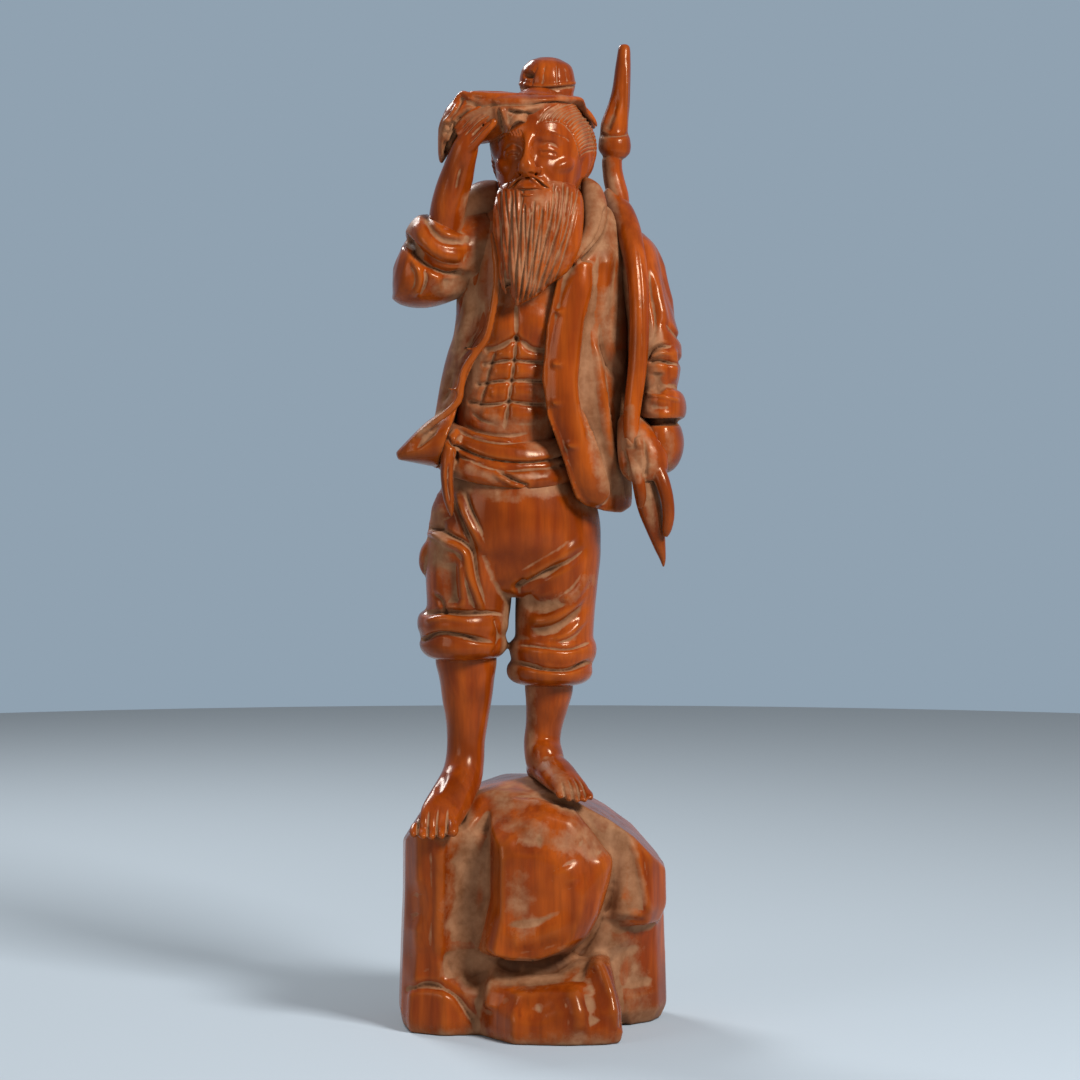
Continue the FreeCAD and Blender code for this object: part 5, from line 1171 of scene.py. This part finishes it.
CLOTH_PX = (
    (456, 118, -8, 10, 3), (460, 118, -8.4, 19, 5.6), (467, 118, -8.6, 25, 7.4),
    (477, 117.5, -8.2, 26.5, 9.4), (490, 116.5, -7.6, 25.5, 11), (505, 114, -7.4, 22.5, 12.4),
    (518, 112, -6.8, 18, 12.6), (531, 109, -5.6, 12.5, 12.4), (545, 107, -2.8, 8, 11.6),
    (560, 106, 0.6, 5.4, 10), (573, 109, 2.8, 4.8, 8), (583, 115, 4, 4.4, 6), (590, 122, 5, 3.4, 4),
    (594, 128, 5.4, 1.8, 2))
# The corner that hangs at the viewer's left.
CLOTH_CORNER_PX = (
    (470, 103, -9.4, 10, 4), (461, 112, -9.8, 14, 5.2), (455, 122, -9.8, 14, 5), (449, 134, -9.6, 11.4, 4.2),
    (445, 146, -9.2, 7.4, 3.2), (442.4, 156, -9, 4.4, 2.4), (441, 163, -9, 1.4, 1.2))
CLOTH_ROLLS_PX = (
    ((466, 97, -12, 3), (473, 95, -14, 4.2), (486, 96.5, -15.4, 4.6), (500, 97, -15.6, 4.4),
     (516, 96.6, -15, 4), (534, 97, -13.4, 3.8), (550, 98, -11, 3.8), (566, 100, -8, 3.6),
     (578, 104.6, -5.4, 3.4), (587, 112, -3.2, 3.2), (594, 121, -1.2, 2.6), (597, 127, 0.2, 1)),
    ((476, 103, -15, 2.6), (469, 97, -14, 3.4), (463, 94, -12.4, 3.8), (457, 101, -12, 3.8),
     (450, 112, -12.2, 3.4), (444, 120, -11.8, 3.2), (440.6, 131, -11, 2.8), (441.6, 142, -10.4, 2.4),
     (440.5, 153, -10, 2.2), (442, 161, -9.6, 1.6)),
    ((545, 103, -11, 2.4), (535, 108, -13.2, 2.6), (527, 116, -15.4, 2.4)))
CLOTH_STROKES = (
    ("groove", 4.5, 1.3, [(462, 106), (470, 103), (480, 105), (494, 103.5), (512, 103), (540, 104),
                          (560, 105), (574, 110), (584, 119)], (0.1, 0.2)),
    ("groove", 3, 1.0, [(463, 98), (456, 110), (448, 121)], (0.2, 0.1)),
    ("groove", 3, 0.9, [(468, 109), (458, 120), (450, 130), (443, 135)], (0.2, 0.1)),
    ("groove", 2.6, 0.9, [(457, 131), (450, 141), (446, 156)], (0.2, 0.1)),
    ("ridge", 3, 0.7, [(459, 103), (451, 116), (443, 124)], (0.2, 0.1)),
    ("ridge", 3, 0.6, [(452, 134), (446, 145), (442, 158)], (0.2, 0.1)),
    ("ridge", 4, 0.8, [(500, 106), (504, 116), (507, 128)], (0.2, 0.2)),
    ("groove", 3.5, 0.9, [(498, 108), (500, 118), (503, 132)], (0.2, 0.1)),
    ("ridge", 3.5, 0.7, [(508, 108), (518, 109), (528, 112)], (0.2, 0.3)),
    ("groove", 3, 0.9, [(507, 111), (516, 112), (524, 113)], (0.2, 0.2)),
    ("ridge", 3.4, 1.0, [(506, 138), (508, 127), (514, 119), (521, 118), (527, 123), (526, 130), (521, 134)],
     (0.1, 0.2)),
    ("hollow", 4.5, 1.6, [(516, 126), (517, 132)], (0.1, 0)),
    ("groove", 3, 0.9, [(511, 115), (520, 112.5), (530, 115), (534, 122)], (0.2, 0.2)),
    ("groove", 3, 0.8, [(452, 125), (460, 117), (470, 110), (482, 107)], (0.2, 0.2)),
    ("ridge", 4, 0.6, [(449, 130), (458, 121), (468, 114)], (0.2, 0.3)),
    ("groove", 4, 1.2, [(446, 128), (453, 124), (456, 132)], (0.1, 0.2)),
    ("hollow", 5, 1.0, [(447, 140), (446, 154)], (0.2, 0.1)),
    ("dust", 26, 0.55, [(452, 120), (480, 112), (510, 112), (535, 108)]),
    ("dust", 16, 0.5, [(446, 130), (443, 155)]),
    ("dust", 10, 0.4, [(560, 98), (590, 108)]),
)
CLOTH_TOP = (
    ("groove", 1.6, 1.1, [(-18, -8), (-8, -4), (0, 2), (6, 8)], (0.2, 0.3)),
    ("groove", 1.6, 1.0, [(-16, -2), (-8, 2), (-2, 7)], (0.2, 0.3)),
    ("ridge", 2, 0.8, [(-17, -5), (-8, -1), (-1, 4)], (0.2, 0.3)),
    ("groove", 1.5, 0.9, [(-12, -12), (-2, -10), (8, -6)], (0.2, 0.3)),
)


def cloth_shape(bm):
    seen_limb(bm, CLOTH_PX, sides=36)
    seen_limb(bm, CLOTH_CORNER_PX, sides=28)
    for rows in CLOTH_ROLLS_PX:
        seen_strand(bm, rows)


BEARD_PX = (
    (540, 186, -8, 35, 4.2), (540, 193, -9.4, 41, 6), (539.5, 200, -11, 44, 7.7), (539, 207, -12.4, 45, 7.4),
    (538.5, 215, -13.5, 45.3, 7), (538, 225, -14.2, 45.3, 6.6), (537, 240, -14.8, 44.3, 6),
    (533.5, 255, -15, 40, 5.5), (530, 265, -15.2, 34.5, 5), (527, 275, -15.2, 27.5, 4.4),
    (524.5, 285, -15.2, 20, 3.8), (521, 293, -15, 13, 3), (518, 300, -14.8, 6.5, 2.1),
    (516, 305.5, -14.6, 1.2, 0.9))
BEARD_TUFTS_PX = (
    ((505, 262, -15.2, 7), (504, 280, -15.4, 4.5), (506, 294, -15.2, 1.2)),
    ((513, 268, -15.6, 7), (514, 290, -15.6, 4.4), (516, 306, -15, 1)),
    ((524, 265, -16, 7), (523, 284, -16, 4.5), (523, 299, -15.4, 1)),
    ((538, 255, -16, 7), (534, 274, -16, 4.8), (531, 288, -15.4, 1.2)),
    ((552, 240, -15.8, 7), (547, 261, -15.8, 4.8), (541, 277, -15.2, 1.2)),
    ((566, 226, -15.4, 7), (562, 246, -15.4, 5), (556, 262, -15, 1.4)))


# The cuts that run down the beard: how many, the first one's place and their spacing at the top, the first
# one's place at the tip and how close they draw together, and how far down they start, end and are drawn in.
BEARD_CUTS = 26
BEARD_LEFT_PX, BEARD_SPACING_PX = 495, 3.4
BEARD_TIP_PX, BEARD_DRAWN_IN = 506, 0.46
BEARD_START_PX, BEARD_END_PX = 180, 309
BEARD_FALL_FROM_PX, BEARD_FALL_PX = 191, 115
# The cuts under the lip start lower.
LIP_PX, LIP_HALF_PX, UNDER_LIP_PX = 538, 13, 200


def beard_shape(bm):
    seen_limb(bm, BEARD_PX, sides=44)
    for rows in BEARD_TUFTS_PX:
        seen_strand(bm, rows)


def beard_strokes():
    """V-cuts that run down the beard, each with its own slight wave and depth."""
    strokes = []
    for index in range(BEARD_CUTS):
        top = BEARD_LEFT_PX + BEARD_SPACING_PX * index
        foot = BEARD_TIP_PX + (top - BEARD_LEFT_PX) * BEARD_DRAWN_IN
        path = []
        start = BEARD_START_PX if abs(top - LIP_PX) > LIP_HALF_PX else UNDER_LIP_PX
        for py in range(start + 3 * (index * 5 % 4), BEARD_END_PX, 6):
            fall = max(0, py - BEARD_FALL_FROM_PX) / BEARD_FALL_PX
            path.append((top + (foot - top) * fall ** 1.3 + 1.2 * math.sin(index * 1.9 + fall * 6), py))
        strokes.append(("groove", 2.2, 0.5 + 0.14 * math.sin(index * 2.3), path, (0.04, 0.04)))
        if index % 3 == 1:
            beside_it = [(px + 1.7, py) for px, py in path[2 + index % 4:10 + index % 4]]
            strokes.append(("groove", 1.6, 0.35, beside_it, (0.2, 0.2)))
    strokes.append(("dust", 75, 0.42, [(540, 200), (535, 250), (524, 290)]))
    return strokes


# ---------- hoe

HANDLE_PX = (
    (611, 192, 5.6, 8, 2.6), (614, 202, 4, 10, 2.8), (621, 212, 1.5, 12.4, 3.1), (627, 226, -1.6, 12.6, 3.2),
    (631.5, 243, -4.6, 12.4, 3.2), (635.5, 262, -7, 11.5, 3.1), (638.3, 285, -9, 10.5, 2.9),
    (639.4, 310, -10.5, 10, 2.8), (639.2, 340, -11.2, 10, 2.8), (637.2, 370, -11.5, 9.6, 2.8),
    (633.6, 398, -12, 9, 2.7), (631.4, 420, -12, 8.4, 2.6), (632, 440, -12, 8, 2.6),
    (638, 465, -11.6, 9, 2.6), (645, 488, -11, 12, 2.7), (650, 508, -10.8, 12.4, 2.7),
    (655, 527, -10.4, 9.8, 2.4), (659.6, 546, -10, 6.2, 1.8), (662.8, 559, -9.6, 3.2, 1.2),
    (663.6, 567, -9.4, 1, 0.5))
HANDLE_STROKES = (
    ("hollow", 7, 0.4, [(647, 495), (652, 520), (659, 548)], (0.1, 0.3)),
    ("groove", 2, 0.3, [(634, 230), (640, 280), (642, 340), (639, 390)], (0.3, 0.3)),
    ("dust", 8, 0.7, [(647, 488), (653, 530)]),
    ("dust", 9, 0.5, [(610, 195), (616, 206)]),
    ("dust", 9, 0.6, [(631, 410), (632, 440)]),
)
NECK_PX = (
    (622, 208, 2.6, 8, 2), (618.4, 196, 4.6, 10.4, 2.8), (614.4, 182, 5.8, 10.6, 3), (612.4, 170, 6, 10, 3),
    (612, 161, 6, 10.2, 3.1), (613, 156, 6, 9, 3))
BLADE_PX = (
    (613.6, 159, 6, 5, 2), (613.8, 157, 6, 11.6, 3.2), (614.4, 152, 6, 15.6, 4), (614.6, 145, 6, 16.4, 4.2),
    (614.4, 139, 6, 15.6, 4), (614, 133, 6, 14, 3.6), (614.6, 125, 6, 13.8, 3.4), (616.8, 115, 6, 12.2, 3.2),
    (619.4, 103, 6.1, 10.6, 2.9), (621.4, 88, 6.2, 9, 2.6), (622.8, 70, 6.3, 8, 2.3),
    (623.8, 56, 6.4, 6.8, 1.9), (624.2, 49, 6.5, 6.1, 1.6), (624.2, 45.6, 6.5, 5, 1.2),
    (624.2, 44.2, 6.5, 2.5, 0.7))
BLADE_STROKES = (
    ("groove", 3.5, 0.5, [(598, 134), (606, 136), (620, 136), (630, 134)], (0.1, 0.1)),
    ("hollow", 6, 0.7, [(606, 132), (613, 112), (618, 90)], (0.1, 0.4)),
    ("ridge", 3, 0.4, [(625, 140), (626, 100), (627.5, 60)], (0.2, 0.3)),
    ("dust", 8, 0.6, [(602, 138), (612, 118)]),
    ("dust", 12, 0.6, [(610, 165), (611, 200)]),
)


def handle_shape(bm):
    seen_limb(bm, HANDLE_PX, sides=24)


def blade_shape(bm):
    seen_limb(bm, BLADE_PX, sides=24)
    seen_limb(bm, NECK_PX, sides=20)


# ---------- the scene around it

FLOOR_REACH = 863
PAPER = (0.48, 0.55, 0.61, 1)
BACKDROP = (0.28, 0.36, 0.44, 1)
SOFT_LIGHT, SOFT_LIGHT_LEVEL = (0.86, 0.87, 0.88, 1), 0.2
SENSOR_WIDTH = 36.0
NEAREST_SEEN, FARTHEST_SEEN = 10, 20000
LAMPS_AIM = (0, 0, 120)
# Each lamp: where it hangs, how wide it is, and its power.
LAMPS = {
    "key_lamp": ((420, -490, 560), 190, 7.0),
    "fill_lamp": ((-520, -460, 260), 300, 0.7),
    "rim_lamp": ((-300, 420, 560), 220, 2.4),
}


def set_camera():
    """The camera, at the picture's place and angle."""
    camera = bpy.data.cameras.new("camera")
    camera.sensor_fit, camera.sensor_width = "HORIZONTAL", SENSOR_WIDTH
    camera.lens = camera.sensor_width * FOCAL_PX / PICTURE_PX
    camera.clip_start, camera.clip_end = NEAREST_SEEN * MM, FARTHEST_SEEN * MM
    holder = placed("camera", camera)
    holder.location = [value * MM for value in CAMERA_AT]
    holder.rotation_euler = (math.pi / 2 - CAMERA_TILT, 0, 0)
    bpy.context.scene.camera = holder


def lay_floor():
    """A round floor of pale paper."""
    bm = bmesh.new()
    bmesh.ops.create_circle(bm, cap_ends=True, segments=128, radius=FLOOR_REACH * MM)
    mesh = bpy.data.meshes.new("floor")
    bm.to_mesh(mesh)
    bm.free()
    paper = bpy.data.materials.new("pale_paper")
    paper.use_nodes = True
    shader = paper.node_tree.nodes["Principled BSDF"]
    shader.inputs["Base Color"].default_value = PAPER
    shader.inputs["Roughness"].default_value = 0.9
    mesh.materials.append(paper)
    placed("floor", mesh)


def hang_backdrop():
    """Soft light from all around, with a pale blue backdrop where the camera or a mirror looks."""
    world = bpy.data.worlds.new("studio")
    bpy.context.scene.world = world
    world.use_nodes = True
    tree = world.node_tree
    soft = tree.nodes["Background"]
    soft.inputs["Color"].default_value = SOFT_LIGHT
    soft.inputs["Strength"].default_value = SOFT_LIGHT_LEVEL
    backdrop = node(tree, "ShaderNodeBackground", Color=BACKDROP, Strength=1.0)
    rays = node(tree, "ShaderNodeLightPath")
    either = node(tree, "ShaderNodeMath", operation="MAXIMUM")
    every = node(tree, "ShaderNodeMath", operation="MAXIMUM")
    seen = node(tree, "ShaderNodeMixShader")
    for start, end in ((rays.outputs["Is Camera Ray"], either.inputs[0]),
                       (rays.outputs["Is Glossy Ray"], either.inputs[1]),
                       (either.outputs[0], every.inputs[0]),
                       (rays.outputs["Is Transmission Ray"], every.inputs[1]),
                       (every.outputs[0], seen.inputs[0]),
                       (soft.outputs[0], seen.inputs[1]),
                       (backdrop.outputs[0], seen.inputs[2]),
                       (seen.outputs[0], tree.nodes["World Output"].inputs["Surface"])):
        tree.links.new(start, end)


def hang_lamps():
    for name, (at, size, power) in LAMPS.items():
        light = bpy.data.lights.new(name, "AREA")
        light.energy, light.size = power, size * MM
        lamp = placed(name, light)
        lamp.location = [value * MM for value in at]
        lamp.rotation_euler = (Vector(LAMPS_AIM) - Vector(at)).to_track_quat("-Z", "Y").to_euler()


def studio():
    set_camera()
    lay_floor()
    hang_backdrop()
    hang_lamps()
    bpy.context.scene.view_settings.view_transform = "Standard"


CANE_DARK, CANE_PALE = (0.42, 0.3, 0.14, 1), (0.6, 0.46, 0.25, 1)


def hide_pegs():
    """The pegs stay inside the joints, in plain bamboo."""
    cane = bpy.data.materials.new("bamboo")
    cane.use_nodes = True
    shader = cane.node_tree.nodes["Principled BSDF"]
    grain = node(cane.node_tree, "ShaderNodeTexNoise", Scale=800.0, Detail=3.0)
    ramp = node(cane.node_tree, "ShaderNodeValToRGB")
    ramp.color_ramp.elements[0].color = CANE_DARK
    ramp.color_ramp.elements[1].color = CANE_PALE
    cane.node_tree.links.new(grain.outputs["Fac"], ramp.inputs["Fac"])
    cane.node_tree.links.new(ramp.outputs["Color"], shader.inputs["Base Color"])
    for name in ("foot_pegs", "waist_peg", "neck_peg", "arm_pegs"):
        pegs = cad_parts[name]
        pegs.data.materials.clear()
        pegs.data.materials.append(cane)


# Each piece: its name, its node, its shape, how fine its skin is, how far it melts, and its strokes by view.
PIECES = (
    ("rock", "rock_base", rock_shape, 0.55, 7, (("picture", ROCK_STROKES), ("picture", ROCK_DUST))),
    ("right_bare_leg", "right_leg", leg_shape(RIGHT_LEG_PX, RIGHT_FOOT_PX, RIGHT_TOES_PX), 0.33, 13,
     (("picture", TOE_STROKES),)),
    ("left_bare_leg", "left_leg", leg_shape(LEFT_LEG_PX, LEFT_FOOT_PX, LEFT_TOES_PX), 0.33, 13,
     (("picture", TOE_STROKES),)),
    ("rolled_trousers", "trousers", trousers_shape, 0.4, 10,
     (("picture", TROUSER_STROKES), ("picture", TROUSER_DUST))),
    ("sash", "waist_sash", sash_shape, 0.36, 3, (("picture", SASH_STROKES),)),
    ("bare_chest", "torso", torso_shape, 0.4, 3, (("picture", CHEST_STROKES), ("picture", CHEST_DUST))),
    ("open_jacket", "jacket", jacket_shape, 0.45, 3,
     (("picture", JACKET_STROKES), ("picture", JACKET_DUST), ("back", JACKET_BACK))),
    ("raised_sleeve", "right_sleeve", right_sleeve_shape, 0.38, 4, (("picture", RIGHT_SLEEVE_STROKES),)),
    ("hanging_sleeve", "left_sleeve", left_sleeve_shape, 0.38, 3,
     (("picture", LEFT_SLEEVE_STROKES), ("right", LEFT_SLEEVE_SIDE))),
    ("raised_forearm", "right_forearm", right_forearm_shape, 0.28, 2, (("picture", FOREARM_STROKES),)),
    ("holding_hand", "left_hand", left_hand_shape, 0.28, 2, (("picture", LEFT_HAND_STROKES),)),
    ("old_head", "head", head_shape, 0.25, 13, HEAD_WORK),
    ("hair_knot", "topknot", topknot_shape, 0.3, 2, (("picture", TOPKNOT_STROKES),)),
    ("brow_cloth", "headcloth", cloth_shape, 0.3, 3, (("picture", CLOTH_STROKES), ("top", CLOTH_TOP))),
    ("long_beard", "beard", beard_shape, 0.21, 2, (("picture", beard_strokes()),)),
    ("hoe_shaft", "hoe_handle", handle_shape, 0.33, 2, (("picture", HANDLE_STROKES),)),
    ("hoe_head", "hoe_blade", blade_shape, 0.28, 2, (("picture", BLADE_STROKES),)),
)


# What is cut out of a piece before it is worked, and what is then added to it.
CUTS = {"rock": (rock_cuts,), "open_jacket": (jacket_opening, jacket_trim)}


def carve_all():
    wood = boxwood()
    for name, node_name, shape, grain, melt, strokes in PIECES:
        piece = Carving(name, shape, grain, melt, *CUTS.get(name, ()))
        for view, some in strokes:
            piece.work(view, some)
        piece.finished(node_name, wood)


studio()
carve_all()
hide_pegs()
